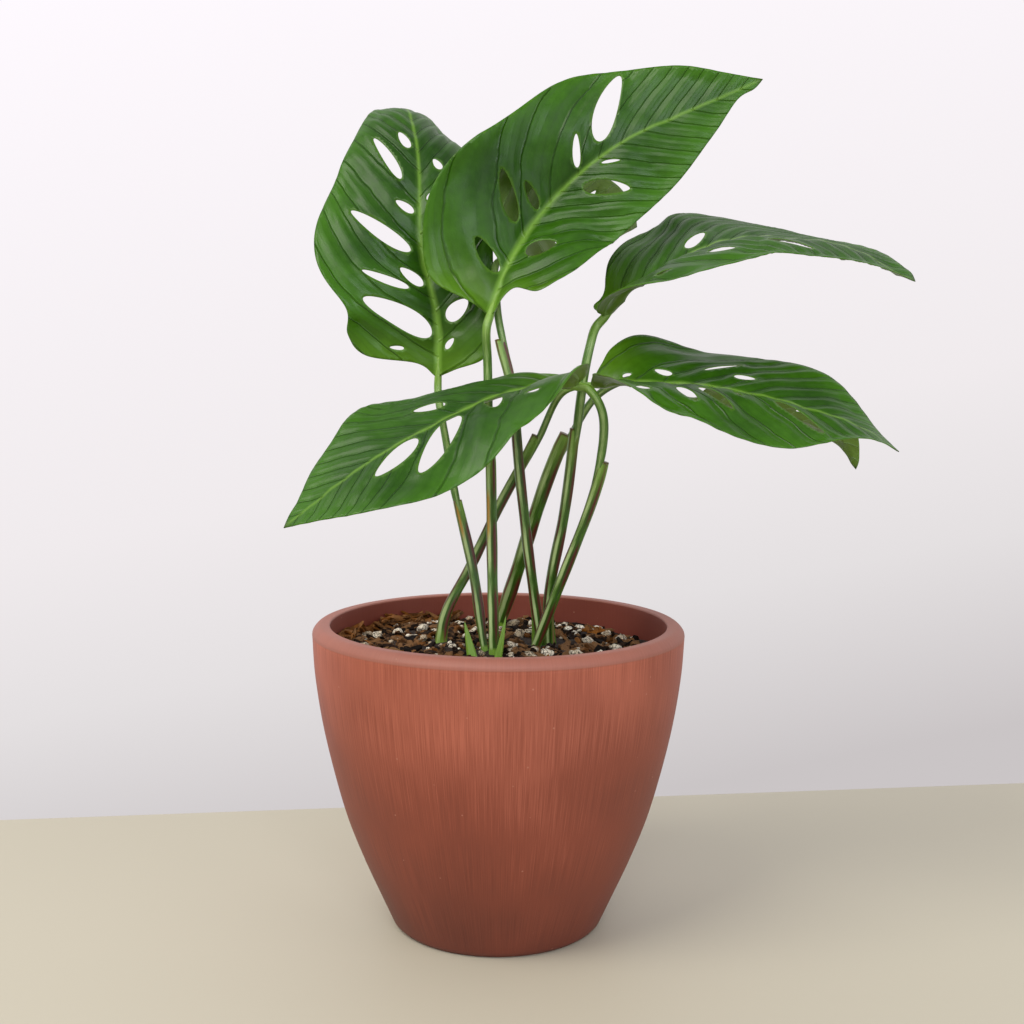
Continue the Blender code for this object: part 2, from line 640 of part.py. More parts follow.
def soil_height(x, y):
    """Height of the soil's uneven top at a place, in metres."""
    reach = math.hypot(x, y) / RIM_RADIUS
    crown = SOIL_CROWN * math.cos(min(reach, 1.0) * math.pi / 2)
    rough = noise.noise(Vector((x, y, 0.0)) / (11 * MM)) + 0.5 * noise.noise(Vector((x, y, 0.02)) / (5 * MM))
    return SOIL_LEVEL + crown + SOIL_ROUGHNESS * rough


def plants_in_soil():
    """Where each stalk, spike and sheath enters the soil: name, foot, a point above it and radius."""
    found = []
    for name in STALKS:
        line = stalk_line(name)
        above = line[np.argmax(path_length(line) > 1.6 * ROOT_DEPTH)]
        found.append((name, line[0], above, STALKS[name].foot * MM))
    for name, (foot, tip, radius) in SPIKES.items():
        foot, tip = np.asarray(foot, float) * MM, np.asarray(tip, float) * MM
        found.append((name, foot - 0.45 * (tip - foot), tip, radius * MM))
    return found


def free_spot(rng, plants, margin, reach):
    """A place on the soil, clear of the stalks and of the wall."""
    while True:
        angle = rng.uniform(0, 2 * math.pi)
        radius = reach * math.sqrt(rng.random())
        x, y = radius * math.cos(angle), radius * math.sin(angle)
        gaps = [math.hypot(x - (a[0] + b[0]) / 2, y - (a[1] + b[1]) / 2) for _, a, b, _ in plants]
        if min(gaps) > margin:
            return x, y


def build_soil(collection, cutters, material, plants):
    """The potting mix: it fills the pot, with bark chips and perlite lumps sunk into its top."""
    rng = random.Random(SEED)
    levels = (SOIL_LEVEL, *INNER_LEVELS[-2::-1])
    edge = inner_radius(SOIL_LEVEL) - CLEARANCE
    profile = [(edge * ring / SOIL_RINGS, SOIL_LEVEL) for ring in range(SOIL_RINGS)]
    profile += [(inner_radius(height) - CLEARANCE, height) for height in levels]
    floor = FLOOR_THICKNESS + CLEARANCE
    profile += [(inner_radius(INNER_LEVELS[0]) - FLOOR_CORNER - CLEARANCE, floor), (0.0, floor)]
    soil = settle(turned_object("soil", profile, collection, material))
    inner_ring = edge * (SOIL_RINGS - 0.5) / SOIL_RINGS
    for point in soil.data.vertices:
        if point.co.z > SOIL_LEVEL - 0.01 * MM and math.hypot(point.co.x, point.co.y) < inner_ring:
            point.co.z = soil_height(point.co.x, point.co.y)
    repeats = new_collection("soil_pieces")
    add_lumps(rng, repeats, plants)
    add_chips(rng, repeats, plants)
    union = soil.modifiers.new("pieces", "BOOLEAN")
    union.operation = "UNION"
    union.solver = "EXACT"
    union.operand_type = "COLLECTION"
    union.collection = repeats
    settle(soil)
    for piece in list(repeats.objects):
        bpy.data.objects.remove(piece, do_unlink=True)
    bpy.data.collections.remove(repeats)
    for name, foot, above, radius in plants:
        way = Vector(above - foot)
        depth = way.length + 12 * MM
        middle = Vector(foot) + way.normalized() * (depth / 2 - 1.0 * MM)
        wide = radius * 1.06 + CLEARANCE
        bpy.ops.mesh.primitive_cylinder_add(vertices=12, radius=wide, depth=depth, location=middle)
        cutter = bpy.context.object
        cutter.rotation_mode = "QUATERNION"
        cutter.rotation_quaternion = way.to_track_quat("Z", "Y")
        add_cutter(cutter, f"hole_for_{name}", cutters, soil)
    return soil


def add_lumps(rng, repeats, plants):
    """Perlite lumps: small uneven balls, half sunk in the soil."""
    for number in range(LUMP_COUNT):
        size = rng.uniform(1.6, 2.9) * MM
        x, y = free_spot(rng, plants, 7.5 * MM, 62 * MM)
        bpy.ops.mesh.primitive_ico_sphere_add(subdivisions=1, radius=1.0)
        lump = bpy.context.object
        turn = Matrix.Rotation(rng.uniform(0, 6.28), 4, "Z") @ Matrix.Rotation(rng.uniform(-0.6, 0.6), 4, "X")
        stretch = Matrix.Diagonal((size * rng.uniform(0.9, 1.35), size, size * rng.uniform(0.75, 0.95), 1.0))
        lump.data.transform(Matrix.Translation((x, y, soil_height(x, y) + 0.25 * size)) @ turn @ stretch)
        file_repeat(lump, f"lump_{number}", repeats)


def add_chips(rng, repeats, plants):
    """Bark chips: thin tilted blocks, half sunk in the soil."""
    for number in range(CHIP_COUNT):
        length, width = rng.uniform(6, 13) * MM, rng.uniform(3.5, 6) * MM
        thick = rng.uniform(1.8, 3.0) * MM
        x, y = free_spot(rng, plants, 9.5 * MM, 58 * MM)
        bpy.ops.mesh.primitive_cube_add(size=1.0)
        chip = bpy.context.object
        turn = Matrix.Rotation(rng.uniform(0, 6.28), 4, "Z")
        turn = turn @ Matrix.Rotation(rng.uniform(-0.35, 0.35), 4, "X")
        turn = turn @ Matrix.Rotation(rng.uniform(-0.3, 0.3), 4, "Y")
        place = Matrix.Translation((x, y, soil_height(x, y) + 0.2 * thick))
        chip.data.transform(place @ turn @ Matrix.Diagonal((length, width, thick, 1.0)))
        file_repeat(chip, f"chip_{number}", repeats)


def file_repeat(item, name, repeats):
    """Move a new primitive into the collection that is joined to the soil."""
    item.name = name
    for owner in list(item.users_collection):
        owner.objects.unlink(item)
    repeats.objects.link(item)


def main():
    """Build the pot, the soil and the plant."""
    remove_scene_objects()
    parts = new_collection(OBJECT_NAME)
    cutters = new_collection("cutters")
    clay = new_material("terracotta", (0.38, 0.09, 0.06), 0.62)
    mix = new_material("potting_mix", (0.05, 0.03, 0.02), 0.95)
    blade_green = new_material("leaf_green", (0.03, 0.13, 0.02), 0.42)
    stalk_green = new_material("stalk_green", (0.09, 0.22, 0.04), 0.5)
    spike_green = new_material("spike_green", (0.10, 0.35, 0.03), 0.5)
    dry_brown = new_material("dry_sheath", (0.12, 0.06, 0.03), 0.8)
    build_pot(parts, cutters, clay)
    build_soil(parts, cutters, mix, plants_in_soil())
    for name, design in LEAVES.items():
        build_stalk(name, parts, stalk_green)
        build_blade(f"leaf_{name}_blade", design, parts, blade_green)
    for name in SPIKES:
        build_spike(name, parts, dry_brown if name == "dry_sheath" else spike_green)


if __name__ == "__main__":
    main()
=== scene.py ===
"""The potted Monstera adansonii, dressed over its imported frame.

Units are metres unless a name or a comment says millimetres. Leaves are drawn in millimetres in a
flat frame of their own: x runs along the midrib from the stalk to the tip, and y across it,
positive on the right half when the upper face is seen with its tip up.
"""
import logging
import math
from dataclasses import dataclass, field
from enum import Enum

import bpy
import numpy as np
from mathutils import Matrix, Vector
from mathutils.geometry import delaunay_2d_cdt


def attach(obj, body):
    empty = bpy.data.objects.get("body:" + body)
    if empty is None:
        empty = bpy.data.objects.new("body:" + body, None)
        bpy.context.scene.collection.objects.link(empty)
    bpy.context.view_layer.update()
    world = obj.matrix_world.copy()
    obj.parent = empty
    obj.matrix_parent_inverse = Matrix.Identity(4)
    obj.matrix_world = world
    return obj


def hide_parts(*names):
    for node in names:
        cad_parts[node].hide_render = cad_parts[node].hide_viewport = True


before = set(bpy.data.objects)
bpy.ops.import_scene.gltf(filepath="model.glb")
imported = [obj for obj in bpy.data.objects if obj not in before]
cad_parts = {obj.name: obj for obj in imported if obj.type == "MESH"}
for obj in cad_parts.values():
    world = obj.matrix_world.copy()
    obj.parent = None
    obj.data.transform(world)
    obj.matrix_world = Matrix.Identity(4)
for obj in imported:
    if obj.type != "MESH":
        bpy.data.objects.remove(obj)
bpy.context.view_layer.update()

LOG = logging.getLogger("monstera")
MM = 0.001
BODY = "root"
BLACK = "#000000"
WHITE = "#FFFFFF"
Array = np.ndarray
Pairs = tuple[tuple[float, ...], ...]
Socket = bpy.types.NodeSocket
Tree = bpy.types.NodeTree
Material = bpy.types.Material


# Small helpers

def linear_colour(hex_colour: str) -> tuple[float, float, float, float]:
    """Turn an sRGB hex colour into linear light.

    Args:
        hex_colour: "#RRGGBB".

    Returns:
        Red, green, blue and an alpha of one.
    """
    parts = [int(hex_colour[i:i + 2], 16) / 255 for i in (1, 3, 5)]
    light = [c / 12.92 if c <= 0.04045 else ((c + 0.055) / 1.055) ** 2.4 for c in parts]
    return (light[0], light[1], light[2], 1.0)


def add_node(tree: Tree, kind: str, settings: dict, links: dict) -> bpy.types.Node:
    """Add a shader node.

    Args:
        tree: node tree to add it to.
        kind: node type, such as "ShaderNodeMix".
        settings: values by name; a name of the node itself, or an input's name or number.
        links: output sockets by the name or number of the input that each one feeds.

    Returns:
        The new node.
    """
    node = tree.nodes.new(kind)
    for name, value in settings.items():
        if isinstance(name, str) and hasattr(node, name):
            setattr(node, name, value)
        else:
            node.inputs[name].default_value = value
    for name, socket in links.items():
        tree.links.new(socket, node.inputs[name])
    return node


def wire(tree: Tree, node: bpy.types.Node, inputs: dict) -> None:
    """Give a node its inputs: sockets are linked, hex colours turned into light, numbers set.

    Args:
        tree: node tree.
        node: the node.
        inputs: sockets, hex colours or numbers by the name or number of the input.
    """
    for name, value in inputs.items():
        if isinstance(value, Socket):
            tree.links.new(value, node.inputs[name])
        else:
            node.inputs[name].default_value = linear_colour(value) if isinstance(value, str) else value


def ramp(tree: Tree, factor: Socket, stops: tuple) -> Socket:
    """Turn a number into a colour or a grey along a ramp.

    Args:
        tree: node tree.
        factor: the number.
        stops: (position, hex colour) pairs.

    Returns:
        The ramp's colour output.
    """
    node = add_node(tree, "ShaderNodeValToRGB", {}, {0: factor})
    elements = node.color_ramp.elements
    while len(elements) < len(stops):
        elements.new(0.5)
    for element, (position, colour) in zip(elements, stops):
        element.position = position
        element.color = linear_colour(colour)
    return node.outputs["Color"]


def mix_colours(tree: Tree, factor: Socket | float, first: Socket | str, second: Socket | str,
                blend: str = "MIX") -> Socket:
    """Mix two colours.

    Args:
        tree: node tree.
        factor: a number or an output socket.
        first: a hex colour or an output socket.
        second: a hex colour or an output socket.
        blend: blend type.

    Returns:
        The mixed colour output.
    """
    node = add_node(tree, "ShaderNodeMix", {"data_type": "RGBA", "blend_type": blend}, {})
    wire(tree, node, {0: factor, 6: first, 7: second})
    return node.outputs[2]


def new_material(name: str) -> tuple[Material, Tree, bpy.types.Node]:
    """Make a material.

    Args:
        name: its name.

    Returns:
        The material, its node tree and its Principled shader.
    """
    material = bpy.data.materials.new(name)
    material.use_nodes = True
    tree = material.node_tree
    return material, tree, tree.nodes["Principled BSDF"]


def hashed(grid: Array, seed: int) -> Array:
    """A number from 0 to 1 for each whole-number place, from its sine.

    Args:
        grid: places, three whole numbers each.
        seed: picks another set.

    Returns:
        One number for each place.
    """
    mixed = np.sin(grid @ np.array([127.1, 311.7, 74.7]) + 19.19 * seed) * 43758.5453
    return mixed - np.floor(mixed)


def value_noise(places: Array, size: float, seed: int = 0) -> Array:
    """Smooth noise: random numbers at the corners of cubes, eased across each cube.

    Args:
        places: points, three numbers each.
        size: side of a cube, in the same units.
        seed: picks another noise.

    Returns:
        Numbers from -1 to 1.
    """
    scaled = np.asarray(places, float) / size
    low = np.floor(scaled)
    part = scaled - low
    part = part * part * (3 - 2 * part)
    total = np.zeros(scaled.shape[:-1])
    for corner in np.ndindex(2, 2, 2):
        step = np.array(corner)
        weight = np.prod(np.where(step == 1, part, 1 - part), axis=-1)
        total += weight * hashed(low + step, seed)
    return total * 2 - 1


def full_turn(count: int) -> Array:
    """Angles of a full turn in even steps, from zero."""
    return np.linspace(0, 2 * math.pi, count, endpoint=False)


def from_front(turn: Array) -> Array:
    """How far round each angle lies from the front, the shorter way."""
    return np.minimum(turn, 2 * math.pi - turn)


def falloff(distance: Array, width: float | Array, power: int = 2) -> Array:
    """One at no distance, falling smoothly to nothing past a width."""
    return np.exp(-(distance / width) ** power)


def rising(value: Array, start: float, length: float) -> Array:
    """Zero up to a start, then rising evenly to one over a length."""
    return np.clip((value - start) / length, 0, 1)


def as_points(*coordinates: Array) -> Array:
    """Points from their coordinates, each stretched over the whole grid."""
    return np.stack(np.broadcast_arrays(*coordinates), -1)


def unit(vectors: Array) -> Array:
    """Vectors of length one, the same way."""
    return vectors / np.maximum(np.linalg.norm(vectors, axis=-1, keepdims=True), 1e-12)


def path_length(points: Array) -> Array:
    """Distance along a row of points, from the first to each one."""
    return np.concatenate([[0.0], np.cumsum(np.linalg.norm(np.diff(points, axis=0), axis=1))])


def points_along(points: Array, wanted: Array) -> Array:
    """Places at given distances along a row of points."""
    along = path_length(points)
    return np.stack([np.interp(wanted, along, points[:, k]) for k in range(points.shape[1])], -1)


def round_along(points: Array, steps: int) -> Array:
    """A smooth curve through points: each piece leaves a point along the line of its neighbours.

    Args:
        points: the points.
        steps: places drawn on each piece.

    Returns:
        Places along the curve.
    """
    points = np.asarray(points, float)
    padded = np.vstack([2 * points[0] - points[1], points, 2 * points[-1] - points[-2]])
    t = np.linspace(0, 1, steps, endpoint=False)[:, None]
    before, start, end, after = (padded[i:len(padded) - 3 + i][:, None] for i in range(4))
    bend = 2 * before - 5 * start + 4 * end - after
    twist = 3 * start - before - 3 * end + after
    curve = 0.5 * (2 * start + (end - before) * t + bend * t ** 2 + twist * t ** 3)
    return np.vstack([curve.reshape(-1, points.shape[1]), points[-1:]])


def bending_spline(points: Array, count: int = 240) -> Array:
    """A natural cubic spline through points in space: bending is even and the ends are straight.

    Args:
        points: the points.
        count: places drawn along it.

    Returns:
        Places along the spline.
    """
    points = np.asarray(points, float)
    knots = path_length(points)
    gap = np.diff(knots)
    size = len(points)
    system = np.eye(size)
    right_side = np.zeros_like(points)
    for i in range(1, size - 1):
        system[i, i - 1:i + 2] = gap[i - 1], 2 * (gap[i - 1] + gap[i]), gap[i]
        change = (points[i + 1] - points[i]) / gap[i] - (points[i] - points[i - 1]) / gap[i - 1]
        right_side[i] = 6 * change
    second = np.linalg.solve(system, right_side)
    where = np.linspace(0, knots[-1], count)
    i = np.clip(np.searchsorted(knots, where, side="right") - 1, 0, size - 2)
    h = gap[i][:, None]
    a = (knots[i + 1] - where)[:, None] / h
    b = 1 - a
    curve = a * points[i] + b * points[i + 1]
    return curve + ((a ** 3 - a) * second[i] + (b ** 3 - b) * second[i + 1]) * h ** 2 / 6


def eased(stations: Pairs, where: Array) -> Array:
    """Values at stations along the leaf, joined by a smooth ease.

    Args:
        stations: (part of the length, values...) rows.
        where: parts of the length.

    Returns:
        One row of values for each place.
    """
    table = np.asarray(stations, float)
    part = np.clip(np.asarray(where, float), table[0, 0], table[-1, 0])
    i = np.clip(np.searchsorted(table[:, 0], part, side="right") - 1, 0, len(table) - 2)
    t = (part - table[i, 0]) / (table[i + 1, 0] - table[i, 0])
    t = (t * t * (3 - 2 * t))[..., None]
    return table[i, 1:] * (1 - t) + table[i + 1, 1:] * t


def inside_ring(points: Array, ring: Array) -> Array:
    """Which points lie inside a closed ring, by counting the edges that a ray crosses."""
    x, y = points[:, 0][:, None], points[:, 1][:, None]
    x0, y0 = ring[:, 0], ring[:, 1]
    x1, y1 = np.roll(x0, -1), np.roll(y0, -1)
    spans = (y0 > y) != (y1 > y)
    slope = np.where(y1 == y0, 1.0, y1 - y0)
    return (spans & (x < (x1 - x0) * (y - y0) / slope + x0)).sum(1) % 2 == 1


def distance_to(points: Array, border: Array) -> Array:
    """Distance from each point to the nearest of a border's points, worked out in batches."""
    batches = np.array_split(points, max(1, len(points) // 800))
    near = [np.sqrt(((batch[:, None] - border[None]) ** 2).sum(2).min(1)) for batch in batches]
    return np.concatenate(near)


def grid_faces(rows: int, columns: int, closed: bool) -> Array:
    """Four-sided faces between the points of a grid.

    Args:
        rows: rows of points.
        columns: points in a row.
        closed: True joins the last column to the first.

    Returns:
        Point numbers, four for each face.
    """
    number = np.arange(rows * columns).reshape(rows, columns)
    if closed:
        number = np.hstack([number, number[:, :1]])
    corners = (number[:-1, :-1], number[:-1, 1:], number[1:, 1:], number[1:, :-1])
    return np.stack([corner.ravel() for corner in corners], -1)


def closed_grid_faces(rows: int, columns: int) -> list[Array]:
    """Faces of a grid that closes round and at both ends, with a pole point for each end.

    Args:
        rows: rows of points.
        columns: points in a row.

    Returns:
        The faces between the points, and those of both ends; the poles follow the grid's points.
    """
    number = np.arange(columns)
    back = np.roll(number, -1)
    last = (rows - 1) * columns
    pole = rows * columns + 0 * number
    ends = [np.stack([back, number, pole], -1), np.stack([number + last, back + last, pole + 1], -1)]
    return [grid_faces(rows, columns, True), np.vstack(ends)]


def repeated(shapes: Array, faces: list[Array]) -> tuple[Array, list[Array]]:
    """Many copies of one shape as one mesh.

    Args:
        shapes: points of each copy: copy, point, three numbers.
        faces: the faces of the first copy, turned inside out to face outwards.

    Returns:
        All the points and all the faces.
    """
    shift = (np.arange(len(shapes)) * shapes.shape[1])[:, None, None]
    groups = [(group[None, :, ::-1] + shift).reshape(-1, group.shape[1]) for group in faces]
    return shapes.reshape(-1, 3), groups


def closed_tube(points: Array, values: dict[str, Array], across: Array, along: Array) -> "MeshData":
    """A tube through rings of points, closed by a middle point at each end.

    Args:
        points: rings of points in mm, ring first.
        values: named numbers for the points of the rings.
        across, along: flat coordinates for the points of the rings.

    Returns:
        The tube, in metres.
    """
    ends = points[[0, -1]].mean(1)
    faces = closed_grid_faces(*points.shape[:2])
    held = {name: np.append(value.ravel(), value[[0, -1], 0]) for name, value in values.items()}
    flat = np.stack([across, along], -1)
    flat = np.vstack([flat.reshape(-1, 2), flat[[0, -1], 0]])
    return MeshData(np.vstack([points.reshape(-1, 3), ends]) * MM, faces, held, {"stalk": flat})


@dataclass
class MeshData:
    """Points and faces of a piece, with its point values and flat coordinates.

    points: places in metres.
    faces: face groups, each an array of point numbers with three or four columns.
    values: named numbers, one for each point.
    flats: named flat coordinates, two for each point.
    """
    points: Array
    faces: list[Array]
    values: dict[str, Array] = field(default_factory=dict)
    flats: dict[str, Array] = field(default_factory=dict)

    def joined(self, other: "MeshData") -> "MeshData":
        """Two meshes as one; both have the same named values."""
        shift = len(self.points)
        values = {name: np.append(value, other.values[name]) for name, value in self.values.items()}
        flats = {name: np.vstack([flat, other.flats[name]]) for name, flat in self.flats.items()}
        faces = self.faces + [group + shift for group in other.faces]
        return MeshData(np.vstack([self.points, other.points]), faces, values, flats)


def add_object(name: str, data: bpy.types.ID) -> bpy.types.Object:
    """Put a new object with its data in the scene."""
    item = bpy.data.objects.new(name, data)
    bpy.context.scene.collection.objects.link(item)
    return item


def add_piece(name: str, data: MeshData, material: Material,
              replaced: tuple[str, ...] = (), smooth: bool = True) -> bpy.types.Object:
    """Make a piece of the object, riding on its one body.

    Args:
        name: the piece's name.
        data: its mesh.
        material: its finish.
        replaced: nodes of the frame that it stands for.
        smooth: whether its faces are shaded as one smooth skin.

    Returns:
        The new object.
    """
    mesh = bpy.data.meshes.new(name)
    faces = [face for group in data.faces for face in group.tolist()]
    mesh.from_pydata(data.points.tolist(), [], faces)
    if smooth:
        mesh.shade_smooth()
    for value_name, values in data.values.items():
        attribute = mesh.attributes.new(value_name, "FLOAT", "POINT")
        attribute.data.foreach_set("value", np.asarray(values, np.float32))
    corners = np.empty(len(mesh.loops), np.int32)
    mesh.loops.foreach_get("vertex_index", corners)
    for flat_name, flat in data.flats.items():
        layer = mesh.uv_layers.new(name=flat_name)
        layer.data.foreach_set("uv", np.asarray(flat, np.float32)[corners].ravel())
    mesh.materials.append(material)
    mesh.validate()
    piece = add_object(name, mesh)
    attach(piece, BODY)
    if replaced:
        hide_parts(*replaced)
    LOG.info("%s: %d points, %d faces", name, len(mesh.vertices), len(mesh.polygons))
    return piece


# Finishes

@dataclass(frozen=True)
class LeafSkin:
    """Living leaf blade: a waxy, quilted skin, thin enough for light to warm its margins.

    deep, fresh: colours of the upper face, from shade to its sunlit patches.
    under_vein: the veins on the underside.
    young: the yellower green where the blade meets its stalk.
    painted_vein_shade: painted shade in the sunken side veins, and fainter in the fine veins
    between them. rib: the pale midrib. under: the matt underside.
    rim: the thin edge of the blade and of its holes. tip: the end of the blade.
    """
    name: str = "waxy_leaf"
    deep: str = "#1A4202"
    fresh: str = "#3D7106"
    young: str = "#6A9416"
    painted_vein_shade: str = "#102C04"
    rib: str = "#79A63A"
    under: str = "#6A8A33"
    under_vein: str = "#86AC5C"
    rim: str = "#5F8A2E"
    tip: str = "#3C5A14"
    roughness: float = 0.34
    sheen: float = 0.34

    def vein_waves(self, tree: Tree) -> tuple[Socket, Socket]:
        """How near a place is to a side vein, from the count of veins before it.

        Args:
            tree: the leaf material's node tree.

        Returns:
            A thin line on each side vein, and the fine lines between them, both 0 to 1.
        """
        counts = add_node(tree, "ShaderNodeUVMap", {"uv_map": "veins"}, {}).outputs["UV"]
        flat = add_node(tree, "ShaderNodeUVMap", {"uv_map": "blade"}, {}).outputs["UV"]
        count = add_node(tree, "ShaderNodeSeparateXYZ", {}, {0: counts})
        place = add_node(tree, "ShaderNodeSeparateXYZ", {}, {0: flat})
        half = add_node(tree, "ShaderNodeMath", {"operation": "GREATER_THAN", 1: 0.0}, {0: place.outputs[1]})
        chosen = add_node(tree, "ShaderNodeMix", {"data_type": "FLOAT"},
                          {0: half.outputs[0], 2: count.outputs[1], 3: count.outputs[0]})
        waver = add_node(tree, "ShaderNodeTexNoise", {"Scale": 0.9, "Detail": 2.0}, {"Vector": flat})
        bent = add_node(tree, "ShaderNodeMath", {"operation": "MULTIPLY_ADD", 1: 0.2},
                        {0: waver.outputs["Fac"], 2: chosen.outputs[0]})
        level = add_node(tree, "ShaderNodeMath", {"operation": "SUBTRACT", 1: 0.1}, {0: bent.outputs[0]})
        main = add_node(tree, "ShaderNodeMath", {"operation": "PINGPONG", 1: 0.5}, {0: level.outputs[0]})
        fading = {"From Min": 0.0, "To Min": 1.0, "To Max": 0.0}
        line = add_node(tree, "ShaderNodeMapRange", {**fading, "From Max": 0.055}, {"Value": main.outputs[0]})
        many = add_node(tree, "ShaderNodeMath", {"operation": "MULTIPLY", 1: 4.0}, {0: bent.outputs[0]})
        fine = add_node(tree, "ShaderNodeMath", {"operation": "PINGPONG", 1: 0.5}, {0: many.outputs[0]})
        thread = add_node(tree, "ShaderNodeMapRange", {**fading, "From Max": 0.3}, {"Value": fine.outputs[0]})
        return line.outputs[0], thread.outputs[0]

    def material(self) -> Material:
        """Make the leaf material.

        Returns:
            The material: colour from noise at about 25 mm and 3 mm with painted sunlit patches and a
            painted glow near the margins, painted shade in the sunken side veins and, fainter, in the fine
            ones between them, the pale midrib and rim from the blade's own values, and a bump that sinks
            the veins and pebbles the skin.
        """
        material, tree, shader = new_material(self.name)
        values = {name: add_node(tree, "ShaderNodeAttribute", {"attribute_name": name}, {}).outputs["Fac"]
                  for name in ("rib", "rim", "under", "margin", "tip", "base")}
        line, thread = self.vein_waves(tree)
        spot = add_node(tree, "ShaderNodeTexCoord", {}, {}).outputs["Object"]
        patches = add_node(tree, "ShaderNodeTexNoise", {"Scale": 38.0, "Detail": 3.0}, {"Vector": spot})
        mottle = add_node(tree, "ShaderNodeTexNoise", {"Scale": 330.0, "Detail": 3.0}, {"Vector": spot})
        # Painted light: noise patches of about 25 mm paint the upper face from shade towards sunlit green,
        # and the margin value paints it fresher near the edge, standing in for light shining through the thin
        # margins.
        tone = add_node(tree, "ShaderNodeMath", {"operation": "MULTIPLY_ADD", 1: 0.9},
                        {0: patches.outputs["Fac"], 2: values["margin"]})
        tone = add_node(tree, "ShaderNodeMath", {"operation": "MULTIPLY_ADD", 1: 0.3},
                        {0: mottle.outputs["Fac"], 2: tone.outputs[0]})
        colour = ramp(tree, tone.outputs[0], ((0.38, self.deep), (0.95, self.fresh)))
        colour = mix_colours(tree, values["base"], colour, self.young)
        # Painted shade: the fine veins a little and the sunken side veins more are painted darker, standing
        # in for the shade in their channels.
        painted_thread_shade = add_node(tree, "ShaderNodeMath", {"operation": "MULTIPLY", 1: 0.09}, {0: thread})
        colour = mix_colours(tree, painted_thread_shade.outputs[0], colour, self.painted_vein_shade)
        dark = add_node(tree, "ShaderNodeMath", {"operation": "MULTIPLY", 1: 0.5}, {0: line})
        colour = mix_colours(tree, dark.outputs[0], colour, self.painted_vein_shade)
        colour = mix_colours(tree, values["rib"], colour, self.rib)
        pale = mix_colours(tree, line, self.under, self.under_vein)
        colour = mix_colours(tree, values["under"], colour, pale)
        colour = mix_colours(tree, values["rim"], colour, self.rim)
        colour = mix_colours(tree, values["tip"], colour, self.tip)
        gloss = add_node(tree, "ShaderNodeMapRange",
                         {"To Min": self.roughness - 0.06, "To Max": self.roughness + 0.1},
                         {"Value": mottle.outputs["Fac"]})
        pebble = add_node(tree, "ShaderNodeTexNoise", {"Scale": 1300.0, "Detail": 2.0}, {"Vector": spot})
        skin = add_node(tree, "ShaderNodeBump", {"Strength": 0.22, "Distance": 0.0002},
                        {"Height": pebble.outputs["Fac"]})
        threads = add_node(tree, "ShaderNodeBump", {"Strength": 0.14, "Distance": 0.0003, "invert": True},
                           {"Height": thread, "Normal": skin.outputs[0]})
        veins = add_node(tree, "ShaderNodeBump", {"Strength": 0.7, "Distance": 0.0006, "invert": True},
                         {"Height": line, "Normal": threads.outputs[0]})
        wire(tree, shader, {"Base Color": colour, "Roughness": gloss.outputs[0], "IOR": 1.5,
                            "Specular IOR Level": self.sheen, "Normal": veins.outputs[0]})
        glow = add_node(tree, "ShaderNodeBsdfTranslucent", {}, {"Color": colour})
        passed = add_node(tree, "ShaderNodeMixShader", {0: 0.22}, {1: shader.outputs[0], 2: glow.outputs[0]})
        tree.links.new(passed.outputs[0], tree.nodes["Material Output"].inputs["Surface"])
        return material


@dataclass(frozen=True)
class StalkSkin:
    """Leaf stalk: smooth green skin with long pale streaks and dry red-brown sheath edges.

    deep, mid, pale: colours of the streaks; pale is also a painted highlight down the grooved front
    and the sheath's left facet, and deep a painted shade on its right facet. edge: dry sheath edges.
    ochre: scars.
    young_dark, young_light: streaks of the young parts.
    """
    name: str = "green_stalk"
    deep: str = "#284A08"
    mid: str = "#477216"
    pale: str = "#B9D08A"
    edge: str = "#552016"
    ochre: str = "#C08A2C"
    young_dark: str = "#3E7312"
    young_light: str = "#9CC04A"
    roughness: float = 0.36

    def material(self) -> Material:
        """Make the stalk material.

        Returns:
            The material: noise stretched along the stalk gives the streaks, and the stalk's own
            attributes give the brown edges, a painted highlight down the grooved front and the sheath's
            left facet, painted shade on its right facet, and the ochre scars.
        """
        material, tree, shader = new_material(self.name)
        values = {name: add_node(tree, "ShaderNodeAttribute", {"attribute_name": name}, {}).outputs["Fac"]
                  for name in ("edge", "groove_and_painted_light", "ochre", "young")}
        along = add_node(tree, "ShaderNodeUVMap", {"uv_map": "stalk"}, {}).outputs["UV"]
        stretched = add_node(tree, "ShaderNodeMapping", {"Scale": (9.0, 0.5, 1.0)}, {"Vector": along})
        streaks = add_node(tree, "ShaderNodeTexNoise", {"Scale": 3.0, "Detail": 4.0, "Roughness": 0.65},
                           {"Vector": stretched.outputs[0]})
        # Painted light: the groove value lifts the streaks towards pale as a painted highlight down the
        # grooved front and the sheath's left facet, and lowers them towards deep as painted shade on its
        # right facet.
        tone = add_node(tree, "ShaderNodeMath", {"operation": "MULTIPLY_ADD", 1: 0.48},
                        {0: values["groove_and_painted_light"], 2: streaks.outputs["Fac"]})
        colour = ramp(tree, tone.outputs[0], ((0.36, self.deep), (0.56, self.mid), (0.95, self.pale)))
        fresh = mix_colours(tree, streaks.outputs["Fac"], self.young_dark, self.young_light)
        colour = mix_colours(tree, values["young"], colour, fresh)
        colour = mix_colours(tree, values["ochre"], colour, self.ochre)
        colour = mix_colours(tree, values["edge"], colour, self.edge)
        bump = add_node(tree, "ShaderNodeBump", {"Strength": 0.4, "Distance": 0.0003},
                        {"Height": streaks.outputs["Fac"]})
        wire(tree, shader, {"Base Color": colour, "Roughness": self.roughness, "Normal": bump.outputs[0]})
        return material


